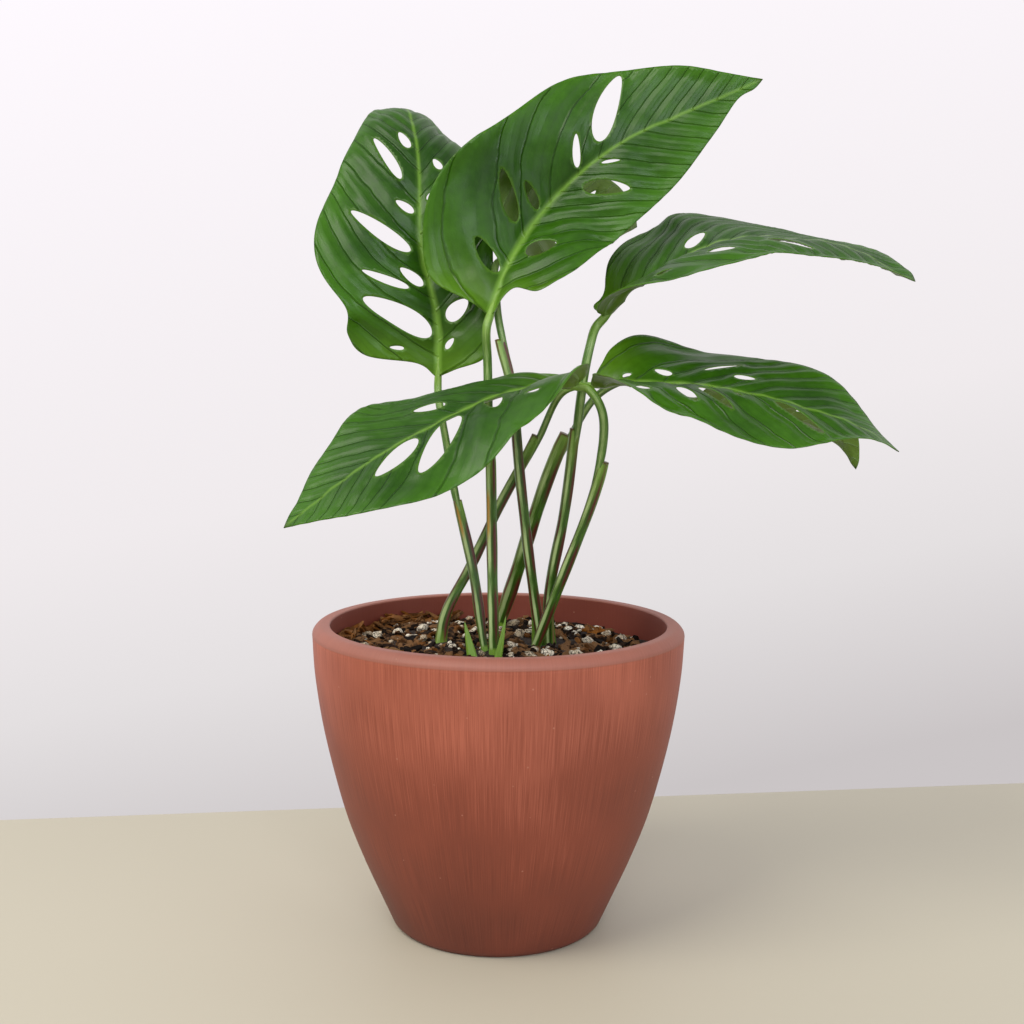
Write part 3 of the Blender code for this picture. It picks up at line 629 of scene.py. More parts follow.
@dataclass(frozen=True)
class BrushedTerracotta:
    """Unglazed clay with a thin slip brushed on upwards: matt, with fine upright streaks."""
    name: str = "brushed_terracotta"
    light: str = "#B4634B"
    dark: str = "#87402B"
    low: str = "#4E1D12"
    rim: str = "#966052"
    inner: str = "#7E392A"
    speck: str = "#C08A74"
    roughness: float = 0.55

    def material(self) -> Material:
        """Make the clay material.

        Returns:
            The material: streaks about 0.6 mm across and 20 mm long, clouds of about 40 mm, pale
            grit of about 0.5 mm, and a fine rubbed bump.
        """
        material, tree, shader = new_material(self.name)
        values = {name: add_node(tree, "ShaderNodeAttribute", {"attribute_name": name}, {}).outputs["Fac"]
                  for name in ("lip", "inner", "low")}
        spot = add_node(tree, "ShaderNodeTexCoord", {}, {}).outputs["Object"]
        wall = add_node(tree, "ShaderNodeUVMap", {"uv_map": "wall"}, {}).outputs["UV"]
        stretched = add_node(tree, "ShaderNodeMapping", {"Scale": (300.0, 4.0, 1.0)}, {"Vector": wall})
        streaks = add_node(tree, "ShaderNodeTexNoise", {"Scale": 9.0, "Detail": 3.0, "Roughness": 0.6},
                           {"Vector": stretched.outputs[0]})
        clouds = add_node(tree, "ShaderNodeTexNoise", {"Scale": 20.0, "Detail": 2.0}, {"Vector": spot})
        calm = add_node(tree, "ShaderNodeMath", {"operation": "MULTIPLY_ADD", 1: 0.45, 2: 0.27},
                        {0: clouds.outputs["Fac"]})
        tone = add_node(tree, "ShaderNodeMath", {"operation": "MULTIPLY_ADD", 1: 0.55},
                        {0: streaks.outputs["Fac"], 2: calm.outputs[0]})
        # The clay is painted darker towards the bottom of the pot by the low value.
        tone = add_node(tree, "ShaderNodeMath", {"operation": "SUBTRACT"},
                        {0: tone.outputs[0], 1: values["low"]})
        colour = ramp(tree, tone.outputs[0], ((0.1, self.low), (0.6, self.dark), (0.9, self.light)))
        colour = mix_colours(tree, values["lip"], colour, self.rim)
        # Painted shade: the inside of the pot is painted a darker red-brown than the outside, standing in for
        # the shade inside it.
        colour = mix_colours(tree, values["inner"], colour, self.inner)
        grit = add_node(tree, "ShaderNodeTexVoronoi", {"Scale": 190.0}, {"Vector": spot})
        rare = add_node(tree, "ShaderNodeTexWhiteNoise", {}, {"Vector": grit.outputs["Position"]})
        dot = ramp(tree, grit.outputs["Distance"], ((0.05, "#B0B0B0"), (0.09, BLACK)))
        chosen = ramp(tree, rare.outputs["Value"], ((0.75, BLACK), (0.76, WHITE)))
        speck = mix_colours(tree, 1.0, dot, chosen, "MULTIPLY")
        colour = mix_colours(tree, speck, colour, self.speck)
        gloss = add_node(tree, "ShaderNodeMapRange",
                         {"To Min": self.roughness - 0.06, "To Max": self.roughness + 0.1},
                         {"Value": clouds.outputs["Fac"]})
        bump = add_node(tree, "ShaderNodeBump", {"Strength": 0.2, "Distance": 0.0002},
                        {"Height": streaks.outputs["Fac"]})
        wire(tree, shader, {"Base Color": colour, "Roughness": gloss.outputs[0], "Normal": bump.outputs[0]})
        return material


@dataclass(frozen=True)
class BarkFinish:
    """Composted pine bark: dark, fibrous and matt, with some orange-brown inner bark."""
    name: str = "composted_bark"
    black: str = "#120B07"
    dark: str = "#2E1E14"
    mid: str = "#84603F"
    orange: str = "#A0601C"
    roughness: float = 0.85
    sheen: float = 0.12

    def material(self) -> Material:
        """Make the bark material.

        Returns:
            The material: each chip has its own tone, with fibres about 0.7 mm apart.
        """
        material, tree, shader = new_material(self.name)
        tone = add_node(tree, "ShaderNodeAttribute", {"attribute_name": "tone"}, {}).outputs["Fac"]
        warm = add_node(tree, "ShaderNodeAttribute", {"attribute_name": "warm"}, {}).outputs["Fac"]
        spot = add_node(tree, "ShaderNodeTexCoord", {}, {}).outputs["Object"]
        fibre_map = add_node(tree, "ShaderNodeUVMap", {"uv_map": "fibre"}, {}).outputs["UV"]
        stretched = add_node(tree, "ShaderNodeMapping", {"Scale": (1.0, 7.0, 1.0)}, {"Vector": fibre_map})
        fibres = add_node(tree, "ShaderNodeTexNoise", {"Scale": 3.0, "Detail": 4.0},
                          {"Vector": stretched.outputs[0]})
        grain = add_node(tree, "ShaderNodeTexNoise", {"Scale": 600.0, "Detail": 4.0}, {"Vector": spot})
        mixed = add_node(tree, "ShaderNodeMath", {"operation": "MULTIPLY_ADD", 1: 0.6},
                         {0: fibres.outputs["Fac"], 2: tone})
        mixed = add_node(tree, "ShaderNodeMath", {"operation": "MULTIPLY_ADD", 1: 0.5},
                         {0: grain.outputs["Fac"], 2: mixed.outputs[0]})
        colour = ramp(tree, mixed.outputs[0], ((0.6, self.black), (0.9, self.dark), (1.4, self.mid)))
        colour = mix_colours(tree, warm, colour, self.orange)
        bump = add_node(tree, "ShaderNodeBump", {"Strength": 0.9, "Distance": 0.001},
                        {"Height": mixed.outputs[0]})
        wire(tree, shader, {"Base Color": colour, "Roughness": self.roughness,
                            "Specular IOR Level": self.sheen, "Normal": bump.outputs[0]})
        return material


@dataclass(frozen=True)
class PeatFinish:
    """Fine damp peat and bark dust between the chips: nearly black, crumbly and matt."""
    name: str = "damp_peat"
    dark: str = "#140D09"
    light: str = "#4A3527"
    roughness: float = 0.92

    def material(self) -> Material:
        """Make the peat material.

        Returns:
            The material: crumbs of about 1 mm with pale dust on some of them.
        """
        material, tree, shader = new_material(self.name)
        spot = add_node(tree, "ShaderNodeTexCoord", {}, {}).outputs["Object"]
        crumbs = add_node(tree, "ShaderNodeTexNoise", {"Scale": 700.0, "Detail": 5.0, "Roughness": 0.7},
                          {"Vector": spot})
        colour = ramp(tree, crumbs.outputs["Fac"], ((0.4, self.dark), (0.75, self.light)))
        bump = add_node(tree, "ShaderNodeBump", {"Strength": 0.9, "Distance": 0.001},
                        {"Height": crumbs.outputs["Fac"]})
        wire(tree, shader, {"Base Color": colour, "Roughness": self.roughness, "Normal": bump.outputs[0]})
        return material


@dataclass(frozen=True)
class PerliteFinish:
    """Expanded perlite: cream white, light and full of small dark pits."""
    name: str = "expanded_perlite"
    light: str = "#F0E7D4"
    stained: str = "#B09C80"
    pit: str = "#2E2218"
    roughness: float = 0.8

    def material(self) -> Material:
        """Make the perlite material.

        Returns:
            The material: stains of about 3 mm, pits of about 1 mm and dark cracks between grains.
        """
        material, tree, shader = new_material(self.name)
        spot = add_node(tree, "ShaderNodeTexCoord", {}, {}).outputs["Object"]
        tone = add_node(tree, "ShaderNodeAttribute", {"attribute_name": "tone"}, {}).outputs["Fac"]
        stains = add_node(tree, "ShaderNodeTexNoise", {"Scale": 300.0, "Detail": 4.0}, {"Vector": spot})
        pits = add_node(tree, "ShaderNodeTexVoronoi", {"Scale": 900.0}, {"Vector": spot})
        cracks = add_node(tree, "ShaderNodeTexVoronoi", {"feature": "DISTANCE_TO_EDGE", "Scale": 520.0},
                          {"Vector": spot})
        mixed = add_node(tree, "ShaderNodeMath", {"operation": "MULTIPLY_ADD", 1: 0.5},
                         {0: tone, 2: stains.outputs["Fac"]})
        colour = ramp(tree, mixed.outputs[0], ((0.5, self.stained), (0.95, self.light)))
        hollow = ramp(tree, pits.outputs["Distance"], ((0.16, WHITE), (0.34, BLACK)))
        pitted = ramp(tree, stains.outputs["Fac"], ((0.5, WHITE), (0.62, BLACK)))
        some = mix_colours(tree, 1.0, hollow, pitted, "MULTIPLY")
        colour = mix_colours(tree, some, colour, self.pit)
        crack = ramp(tree, cracks.outputs["Distance"], ((0.02, WHITE), (0.07, BLACK)))
        colour = mix_colours(tree, crack, colour, self.pit)
        bump = add_node(tree, "ShaderNodeBump", {"Strength": 0.8, "Distance": 0.0005},
                        {"Height": pits.outputs["Distance"]})
        wire(tree, shader, {"Base Color": colour, "Roughness": self.roughness, "Normal": bump.outputs[0]})
        return material


# Leaves

WIDTH_STATIONS = (0.05, 0.12, 0.22, 0.34, 0.47, 0.60, 0.72, 0.83, 0.92, 0.97)
CURL_WIDTH = 36.0
BASE_HALF_WIDTH = 1.2
SHOULDER_HALF_WIDTH = 9
TRIANGLE_ROW = 0.87
SHEET_ROWS = 56
STALK_OVERHANG = 12


@dataclass(frozen=True)
class LeafForm:
    """One leaf: its midrib in space, how its blade is bent, and its flat outline and holes.

    midrib: points of the midrib in mm, stalk to tip.
    up: the way the upper face looks before it is rolled about the midrib.
    roll, fold, curl: (part of the length, degrees) stations; fold and curl hold the left and the
        right half. Fold lifts a half at the midrib, and curl bends it over CURL_WIDTH.
    left, right: half widths in mm at WIDTH_STATIONS.
    shoulders: how far along the left and the right base corner lie, in mm.
    holes: (inner end, outer end, width) in mm.

    Where the values come from: in top, right_upper, right_lower and front_left the midrib, the
    angles, the half widths and the shoulders were fitted by a program to outline points of the
    photo and rounded, and some were then moved. The base end of back_left began so too.
    Most holes of these five leaves, and the midribs of the two hidden ones, began as readings from
    the photo that a program turned into millimetres. The rest is listed.
    """
    midrib: Pairs
    up: tuple[float, float, float]
    roll: Pairs
    fold: Pairs
    curl: Pairs
    left: tuple[float, ...]
    right: tuple[float, ...]
    shoulders: tuple[float, float]
    holes: tuple


LEAF_FORMS = {
    "back_left": LeafForm(
        midrib=((-26.5, 17.5, 230), (-27.5, 18.5, 257.5), (-33.5, 22.5, 283), (-35, 31.5, 311.5),
                (-38.5, 48, 338), (-41.5, 61, 346.5), (-44.5, 76.5, 349), (-46.5, 90.5, 343.5)),
        up=(0, -1, 1),
        roll=((0, -7), (0.35, -5), (0.6, 0), (0.8, 14), (1, 5)),
        fold=((0, 21, 24), (0.35, 17, 16), (0.6, 10, 2), (0.8, 10, -3), (1, 0, -10)),
        curl=((0, -20, -20), (0.35, -16, -16), (0.6, -40, -60), (0.8, -85, -85), (1, -60, -60)),
        left=(31, 38, 37.5, 45, 41, 35, 26, 16, 7.5, 3.5),
        right=(22, 21, 27, 31, 32, 29.5, 21, 12, 6.5, 3.5),
        shoulders=(5, 3),
        holes=(((17, -3), (38.5, -29.5), 10), ((39, -9.5), (49, -27), 3.4), ((39, -3), (47.5, -11), 4.6),
               ((54, -5), (71, -29), 6), ((70.5, -2.5), (75.5, -10), 3.6), ((86, -8), (109.5, -18.2), 4.5),
               ((102, -3.5), (111, -7), 4), ((11.5, -14.5), (12, -20.5), 1.8),
               ((23.5, 4.5), (29, 14.5), 6.5), ((11.5, 3.5), (15.5, 7.5), 2.7), ((76, 3.5), (80, 6), 2.7),
               ((40, 5), (50, 20), 4.5), ((57, 5), (68, 19), 4.5), ((91, 9.5), (96, 6.5), 3.4)),
    ),
    "top": LeafForm(
        midrib=((-4.5, -6.5, 255.5), (0, 1, 269), (7.5, 9, 284.5), (19.5, 18.5, 301.5),
                (38, 17, 319), (60, 15.5, 332.5), (83.5, 13.5, 342.5), (107, 11.5, 352.5)),
        up=(0, -1, 0),
        roll=((0, -19), (0.35, -10), (0.7, -13), (1, -11)),
        fold=((0, 19, 36), (0.35, 33, 26), (0.7, 1, 11), (1, 7, 10)),
        curl=((0, -24, -28), (0.35, -1, -8), (0.7, -19, -12), (1, -9, -9)),
        left=(26.5, 36, 43, 42.5, 36.5, 34.5, 26.5, 18.5, 8.5, 3),
        right=(22.5, 30, 34.5, 36, 35, 31.5, 25.5, 14.5, 4, 2.5),
        shoulders=(3, 11),
        holes=(((90.5, -5.5), (109.5, -27), 8.5), ((77.5, -2.5), (85, -13.5), 3),
               ((42, -6.5), (53, -25.5), 6.5),
               ((53.5, -2.2), (57.5, -14.5), 4.4), ((19.5, -2.5), (27.5, -17), 6),
               ((86.5, 2.5), (93.5, 6.5), 1.6), ((74, 6.5), (90, 20), 6.5), ((31, 5.5), (39, 16), 8.5)),
    ),
    "right_upper": LeafForm(
        midrib=((42, 3.5, 255.5), (51, 2.5, 264.5), (64.5, 1.5, 273.5), (80.5, 1, 282.5),
                (101, 4, 288), (122.5, 1.5, 288), (142, -6, 282), (164.5, -18, 269.5)),
        up=(0, 0, 1),
        roll=((0, 12), (0.35, 16), (0.7, 13), (1, 13)),
        fold=((0, 27, 36), (0.35, 17, 15), (0.7, 0, 4), (1, 6, 10)),
        curl=((0, 8, -51), (0.35, -15, -27), (0.7, -22, -20), (1, -16, -8)),
        left=(10.5, 26.5, 37, 40, 37.5, 32.5, 26, 18, 9, 5),
        right=(21.5, 31, 37, 36, 34.5, 32, 26.5, 18.5, 8, 3.5),
        shoulders=(0, 0),
        holes=(((44, -4.5), (54.5, -10.5), 6), ((47.5, 16), (55, 22), 5.5), ((75, 15.5), (100, 19), 5),
               ((26, 27), (32, 25), 3)),
    ),
    "right_lower": LeafForm(
        midrib=((37, -8, 228), (49, -11.5, 228.5), (64, -15, 228.5), (81, -20, 228),
                (100, -26, 224.5), (119, -32, 220.5), (137, -37.5, 213), (153.5, -43, 203.5)),
        up=(0, 0, 1),
        roll=((0, 20), (0.35, 21), (0.7, 23), (1, 12)),
        fold=((0, 35, 38), (0.35, 11, 14), (0.7, 10, -2), (1, -3, 14)),
        curl=((0, -11, -21), (0.35, -25, -21), (0.7, -15, -19), (1, -11, -10)),
        left=(18, 28, 34.5, 37, 36.5, 33, 27, 18.5, 7.5, 2.5),
        right=(21.5, 28.5, 33.5, 36.5, 36.5, 33, 28, 19.5, 8, 2.5),
        shoulders=(3, 2.5),
        holes=(((12.5, -3), (16, -4.5), 2), ((32, -5.5), (25, -8), 3.6), ((55.5, -10), (64, -11), 3.6),
               ((43.5, -11.5), (56.5, -22.5), 2), ((26.5, 20.5), (22, 28.5), 3), ((37, 10), (47.5, 23.5), 5),
               ((45, 6.5), (61.5, 20), 5.5), ((58, 1.8), (62, 5.5), 2), ((75, 2.8), (98, 16), 4.4)),
    ),
    "front_left": LeafForm(
        midrib=((30, -25, 228), (17.5, -30.5, 228.5), (3.5, -37.5, 225), (-12.5, -46, 220),
                (-29, -56.5, 211.5), (-45, -67, 202), (-62, -73, 190), (-78, -77, 176.5)),
        up=(0, 0, 1),
        roll=((0, -6), (0.35, -13), (0.7, -22), (1, -25)),
        fold=((0, 33, 19), (0.35, 12, 7), (0.7, -2, 5), (1, -3, 3)),
        curl=((0, -22, -60), (0.35, -21, -31), (0.7, -22, -4), (1, -12, -10)),
        left=(23.5, 30.5, 34.5, 36.5, 37, 33, 28, 20, 10, 4),
        right=(21, 29.5, 36, 38, 36, 29, 23.5, 17, 7, 3),
        shoulders=(0, 0),
        holes=(((75.5, -3.2), (97.5, -9.5), 7.5), ((57, -6.5), (86, -19), 9.5),
               ((38.5, -2.5), (45, -15.5), 7),
               ((28, -21.5), (31, -16), 2.4), ((53.5, 7.5), (64.5, 12.5), 6)),
    ),
    "behind_top": LeafForm(
        midrib=((0, 19.5, 279.5), (15, 36, 291), (32.5, 57, 299), (50, 78.5, 302), (64, 97, 300)),
        up=(0, 0, 1),
        roll=((0, -82), (0.4, -78), (1, -62)),
        fold=((0, 24, 24), (0.4, 12, 12), (1, 5, 5)),
        curl=((0, -20, -20), (1, -20, -20)),
        left=(10, 14, 16, 18, 20, 20, 18, 13, 7, 3),
        right=(32, 39, 36, 26, 21.5, 20, 17, 12, 6, 3),
        shoulders=(3, 9),
        holes=(((40, -4), (50, -14), 4), ((60, -4), (70, -13), 4),
               ((38, 4), (49, 14), 4), ((58, 4), (68, 12), 3.5)),
    ),
    "behind_right": LeafForm(
        midrib=((84, 27, 221), (108, 43.5, 218.5), (134, 60, 213), (157, 75, 204), (166, 82, 195),
                (169, 84, 186.5)),
        up=(0, 0, 1),
        roll=((0, -14), (0.4, -16), (0.8, -22), (1, -30)),
        fold=((0, 20, 20), (0.4, 12, 12), (1, 5, 5)),
        curl=((0, -20, -20), (1, -20, -20)),
        left=(12, 17, 22, 25, 23, 17, 11, 6, 3.2, 1.8),
        right=(8, 11, 14, 18, 20, 19, 14, 8, 3.8, 2),
        shoulders=(0, 0),
        holes=(((26, -4), (38, -14), 4), ((46, -4), (58, -13), 4),
               ((36, 3.5), (46, 11), 3.5), ((58, 3.5), (70, 12), 4)),
    ),
}


@dataclass
class LeafBlade:
    """A leaf blade worked out from its form.

    name: the leaf's name, as its node has it.
    form: the leaf's form.
    step: spacing of the blade's points in mm.
    thickness: blade thickness in mm.
    quilting: how far the veins sink below the blade between them, in mm.
    unevenness: height of the slow waves of the blade, in mm.
    vein_lean, vein_spread, vein_bend: how side veins lean forward, as vein_coordinate says.
    vein_spacing: usual distance between side veins along the midrib, in mm.
    """
    name: str
    form: LeafForm
    step: float = 1.25
    thickness: float = 0.45
    quilting: float = 1.15
    unevenness: float = 1.5
    vein_lean: float = 0.42
    vein_spread: float = 1.25
    vein_bend: float = 0.006
    vein_spacing: float = 10.5

    def __post_init__(self) -> None:
        """Draw the midrib once."""
        self.line = bending_spline(self.form.midrib)
        self.along = path_length(self.line)
        self.length = float(self.along[-1])
        self.heading = unit(np.gradient(self.line, self.along, axis=0))

    def directions(self, x: Array) -> tuple[Array, Array, Array, Array]:
        """The blade's own directions along the midrib.

        Args:
            x: distances along the midrib in mm.

        Returns:
            Midrib points, headings, face directions and sideways directions.
        """
        inside = np.clip(x, 0, self.length)
        start = points_along(self.line, inside)
        heading = unit(np.stack([np.interp(inside, self.along, self.heading[:, k]) for k in range(3)], -1))
        start = start + heading * (x - inside)[..., None]
        face = np.asarray(self.form.up, float) + 0 * heading
        face = unit(face - heading * (face * heading).sum(-1, keepdims=True))
        side = np.cross(heading, face)
        roll = np.radians(eased(self.form.roll, inside / self.length))
        level, steep = np.cos(roll), np.sin(roll)
        return start, heading, face * level + side * steep, side * level - face * steep

    def place(self, x: Array, y: Array) -> Array:
        """Where flat points lie in space: each half is an arc that starts at the fold angle.

        Args:
            x: distances along the midrib in mm.
            y: distances across it in mm.

        Returns:
            Points in mm.
        """
        start, _, face, side = self.directions(x)
        half = (y >= 0).astype(int)[..., None]
        fold = np.radians(np.take_along_axis(eased(self.form.fold, x / self.length), half, -1))[..., 0]
        curl = np.take_along_axis(eased(self.form.curl, x / self.length), half, -1)[..., 0]
        curl = np.radians(curl) / CURL_WIDTH
        curl = np.where(np.abs(curl) < 1e-6, 1e-6, curl)
        reach = fold + curl * np.abs(y)
        out = (np.sin(reach) - np.sin(fold)) / curl
        rise = (np.cos(fold) - np.cos(reach)) / curl
        return start + side * (np.sign(y) * out)[..., None] + face * rise[..., None]

    def face_direction(self, x: Array, y: Array) -> Array:
        """The upper face's direction at flat points, from the slopes along and across."""
        small = 0.4
        lengthwise = self.place(x + small, y) - self.place(x - small, y)
        across = self.place(x, y + small) - self.place(x, y - small)
        return unit(np.cross(across, lengthwise))

    def half_outline(self, sign: int, step: float) -> Array:
        """The flat edge of one half, stalk to tip, through its shoulder and its widths."""
        widths = self.form.right if sign > 0 else self.form.left
        shoulder = self.form.shoulders[1 if sign > 0 else 0]
        points = [(0, BASE_HALF_WIDTH), (shoulder, SHOULDER_HALF_WIDTH)]
        points += [(part * self.length, width) for part, width in zip(WIDTH_STATIONS, widths)]
        points.append((self.length, 0))
        curve = round_along(np.array(points, float), 24)
        total = path_length(curve)[-1]
        edge = points_along(curve, np.linspace(0, total, max(2, round(total / step) + 1)))
        return edge * (1, sign)

    def hole_outline(self, inner: tuple, outer: tuple, width: float, step: float) -> Array:
        """An oval between two veins, widest nearer the midrib, as a closed row of flat points."""
        inner, outer = np.asarray(inner, float), np.asarray(outer, float)
        length = np.linalg.norm(outer - inner)
        count = int(np.clip(round(2.2 * (length + width) / step), 14, 80))
        turn = np.arange(count) * 2 * math.pi / count
        across = np.array([inner[1] - outer[1], outer[0] - inner[0]]) / length
        long_way = -np.cos(turn) * 0.5
        wide_way = np.sin(turn) * 0.5 * (1 - 0.5 * long_way)
        return (inner + outer) / 2 + (outer - inner) * long_way[:, None] + across * width * wide_way[:, None]

    def sheet(self) -> tuple[Array, Array]:
        """The flat blade as triangles.

        Returns:
            Flat points, and triangles facing up.
        """
        right, left = self.half_outline(1, self.step), self.half_outline(-1, self.step)
        rings = [np.vstack([right, left[::-1][1:]])]
        rings += [self.hole_outline(*hole, self.step * 0.8) for hole in self.form.holes]
        border = np.vstack(rings)
        row = np.arange(-SHEET_ROWS, SHEET_ROWS + 1) * self.step * TRIANGLE_ROW
        x, y = np.meshgrid(np.arange(-STALK_OVERHANG, self.length, self.step), row)
        x = x + 0.5 * self.step * (np.arange(len(row)) % 2)[:, None]
        inner = np.stack([x.ravel(), y.ravel()], -1)
        keep = inside_ring(inner, rings[0])
        for ring in rings[1:]:
            keep &= ~inside_ring(inner, ring)
        inner = inner[keep]
        inner = inner[distance_to(inner, border) > 0.5 * self.step]
        points = np.vstack([border, inner])
        starts = np.cumsum([0] + [len(ring) for ring in rings])
        edges = [(a + i, a + (i + 1) % (b - a)) for a, b in zip(starts, starts[1:]) for i in range(b - a)]
        found = delaunay_2d_cdt([Vector(point) for point in points], edges, [], 0, 1e-6)
        flat = np.array([point[:] for point in found[0]])
        triangles = np.array([face for face in found[2] if len(face) == 3])
        middle = flat[triangles].mean(1)
        solid = inside_ring(middle, rings[0])
        for ring in rings[1:]:
            solid &= ~inside_ring(middle, ring)
        triangles = triangles[solid]
        corner = flat[triangles]
        turn = np.cross(corner[:, 1] - corner[:, 0], corner[:, 2] - corner[:, 0])
        triangles[turn < 0] = triangles[turn < 0][:, ::-1]
        used, compact = np.unique(triangles, return_inverse=True)
        return flat[used], compact.reshape(triangles.shape)

    def vein_coordinate(self, x: Array, y: Array) -> tuple[Array, Array]:
        """Where along the midrib the side vein through a flat point starts.

        Side veins leave the midrib leaning forward, more so towards the tip, and bend forward as
        they go out: start = x (1 - spread |y| / length) - lean |y| - bend y².

        Args:
            x: distances along the midrib in mm.
            y: distances across it in mm.

        Returns:
            The start, and how fast it changes for each mm of the blade.
        """
        a = np.abs(y)
        start = x * (1 - self.vein_spread * a / self.length) - self.vein_lean * a - self.vein_bend * a * a
        lengthwise = 1 - self.vein_spread * a / self.length
        sideways = self.vein_lean + self.vein_spread * x / self.length + 2 * self.vein_bend * a
        return start, np.sqrt(lengthwise ** 2 + sideways ** 2)

    def vein_starts(self, sign: int) -> Array:
        """Where one half's side veins leave the midrib: halfway between holes, and never far apart."""
        middles = [(np.add(inner, outer) / 2) for inner, outer, _ in self.form.holes]
        middles = np.array([m for m in middles if np.sign(m[1]) == sign]).reshape(-1, 2)
        holes = np.sort(self.vein_coordinate(middles[:, 0], middles[:, 1])[0])
        groups: list[list[float]] = []
        for start in holes:
            if groups and start - groups[-1][-1] < 0.45 * self.vein_spacing:
                groups[-1].append(float(start))
            else:
                groups.append([float(start)])
        centres = [float(np.mean(group)) for group in groups]
        stops = [0.0] + [(a + b) / 2 for a, b in zip(centres, centres[1:])] + [self.length * 0.94]
        if centres and centres[0] < 6:
            stops[0] = min(0.0, centres[0] - 5)
        starts = []
        for low, high in zip(stops, stops[1:]):
            pieces = max(1, round((high - low) / self.vein_spacing))
            held = [c for c in centres if low < c < high]
            if held and pieces == 2:
                pieces = 1
            starts += list(np.linspace(low, high, pieces, endpoint=False))
        return np.array([start for start in starts if start >= 0])

    def vein_count(self, x: Array, y: Array, sign: int) -> Array:
        """How many side veins of one half lie before a flat point; whole numbers are on a vein."""
        starts = self.vein_starts(sign)
        start, _ = self.vein_coordinate(x, y)
        number = np.arange(len(starts), dtype=float)
        inside = np.interp(start, starts, number)
        before = np.minimum(start - starts[0], 0) / self.vein_spacing
        after = np.maximum(start - starts[-1], 0) / self.vein_spacing
        return inside + before + after

    def vein_distance(self, x: Array, y: Array) -> Array:
        """Distance from flat points to the nearest side vein, in mm."""
        _, rate = self.vein_coordinate(x, y)
        right, left = self.vein_count(x, y, 1), self.vein_count(x, y, -1)
        count = np.where(y > 0, right, left)
        return np.abs(count - np.round(count)) * self.vein_spacing / rate

    def mesh(self) -> MeshData:
        """The blade as a thin closed shell.

        Height above the bent sheet: veins and the midrib sink, the blade between them stands
        proud, and slow and quick noise make it uneven. The underside follows a blade's thickness
        below, with ribs under the midrib and the side veins.

        Returns:
            The blade's mesh with its vein, rib, rim, margin and underside values.
        """
        flat, triangles = self.sheet()
        x, y = flat.T
        edge_points = np.vstack([self.half_outline(1, 1.5), self.half_outline(-1, 1.5)])
        hole_points = [self.hole_outline(*hole, 1.0) for hole in self.form.holes]
        to_edge = distance_to(flat, edge_points)
        to_border = np.minimum(to_edge, distance_to(flat, np.vstack(hole_points)))
        near_vein = self.vein_distance(x, y)
        part = np.clip(x / self.length, 0, 1)
        a = np.abs(y)
        spot = np.stack([x, y, 0 * x + 40 * len(self.name)], -1)
        calm = np.clip(to_border / 5, 0, 1)
        rib_width = 0.55 + 0.75 * (1 - part)
        sink = self.quilting * calm * falloff(near_vein, 2.4) * (1 - 0.6 * falloff(a, 3))
        channel = 0.9 * (1 - 0.6 * part) * falloff(a, 2.6)
        channel = channel - 0.55 * (1 - part) * falloff(a, rib_width)
        uneven = self.unevenness * (0.75 * value_noise(spot, 17, 3) + 0.25 * value_noise(spot, 8, 5))
        height = 0.35 - sink - channel + uneven * calm - 0.2
        face = self.face_direction(x, y)
        upper = self.place(x, y) + face * height[:, None]
        keel = 1.5 * (1 - 0.85 * part) * falloff(a, 1.1 * rib_width)
        keel += 0.3 * calm * falloff(near_vein, 0.7)
        depth = self.thickness * (0.6 + 0.4 * calm) + keel * np.clip(to_border / 1.5, 0.2, 1)
        lower = upper - face * depth[:, None]
        count = len(flat)
        sides = np.vstack([triangles[:, [0, 1]], triangles[:, [1, 2]], triangles[:, [2, 0]]])
        keys = np.sort(sides, axis=1)
        _, first, times = np.unique(keys, axis=0, return_index=True, return_counts=True)
        rim = sides[first[times == 1]]
        walls = np.stack([rim[:, 1], rim[:, 0], rim[:, 0] + count, rim[:, 1] + count], -1)
        values = {
            "rib": falloff(a, rib_width, 4) * np.clip(1.15 - part * 0.6, 0, 1),
            "rim": np.clip(1 - to_border / (0.35 * self.step), 0, 1) * 0.7,
            # Painted light: a fresher green near the edge, standing in for light shining through the thin
            # margins.
            "margin": 0.4 * np.exp(-to_edge / 7),
            "tip": rising(part, 0.975, 0.02),
            "under": np.zeros(count),
            "base": 0.45 * falloff(x, 16),
        }
        doubled = {name: np.concatenate([value, value]) for name, value in values.items()}
        doubled["under"][count:] = 1.0
        counts = np.stack([self.vein_count(x, y, 1), self.vein_count(x, y, -1)], -1)
        return MeshData(
            np.vstack([upper, lower]) * MM,
            [triangles, triangles[:, ::-1] + count, walls],
            doubled,
            {"veins": np.vstack([counts, counts]), "blade": np.vstack([flat, flat]) / 10},
        )

    def build(self, material: Material) -> bpy.types.Object:
        """Make the blade and put it in its node's place."""
        node = f"leaf_{self.name}_blade"
        return add_piece(f"blade_{self.name}", self.mesh(), material, (node,))


# Stalks

ROOT_DEPTH = 14.0
STALK_DEPTH = 1.1
STALK_END = (4.2, 1.3)


@dataclass(frozen=True)
class StalkForm:
    """One leaf stalk: its route, its thickness and its scars.

    route: points of the centre line in mm, soil first, ending a little before the leaf.
    sheath: part of the whole length that the sheath wraps.
    foot, sheathed, bare: radius in mm at the soil, over the sheath and above it.
    wing: how far the sheath's end stands off to the right (or left, below zero), in mm.
    facing: which way the grooved front faces, in degrees from the viewer towards the right.
    scar: (from, to) part of the length that an ochre scar runs over, or nothing.
    young_foot: how far up the bright green foot reaches, in mm.

    The routes began as readings from the photo with a guessed depth, turned into millimetres by a
    program. Many points were moved later.
    """
    route: Pairs
    sheath: float
    foot: float
    sheathed: float
    bare: float
    wing: float = 0.0
    facing: float = 0.0
    scar: tuple[float, float] = (0.0, 0.0)
    young_foot: float = 0.0


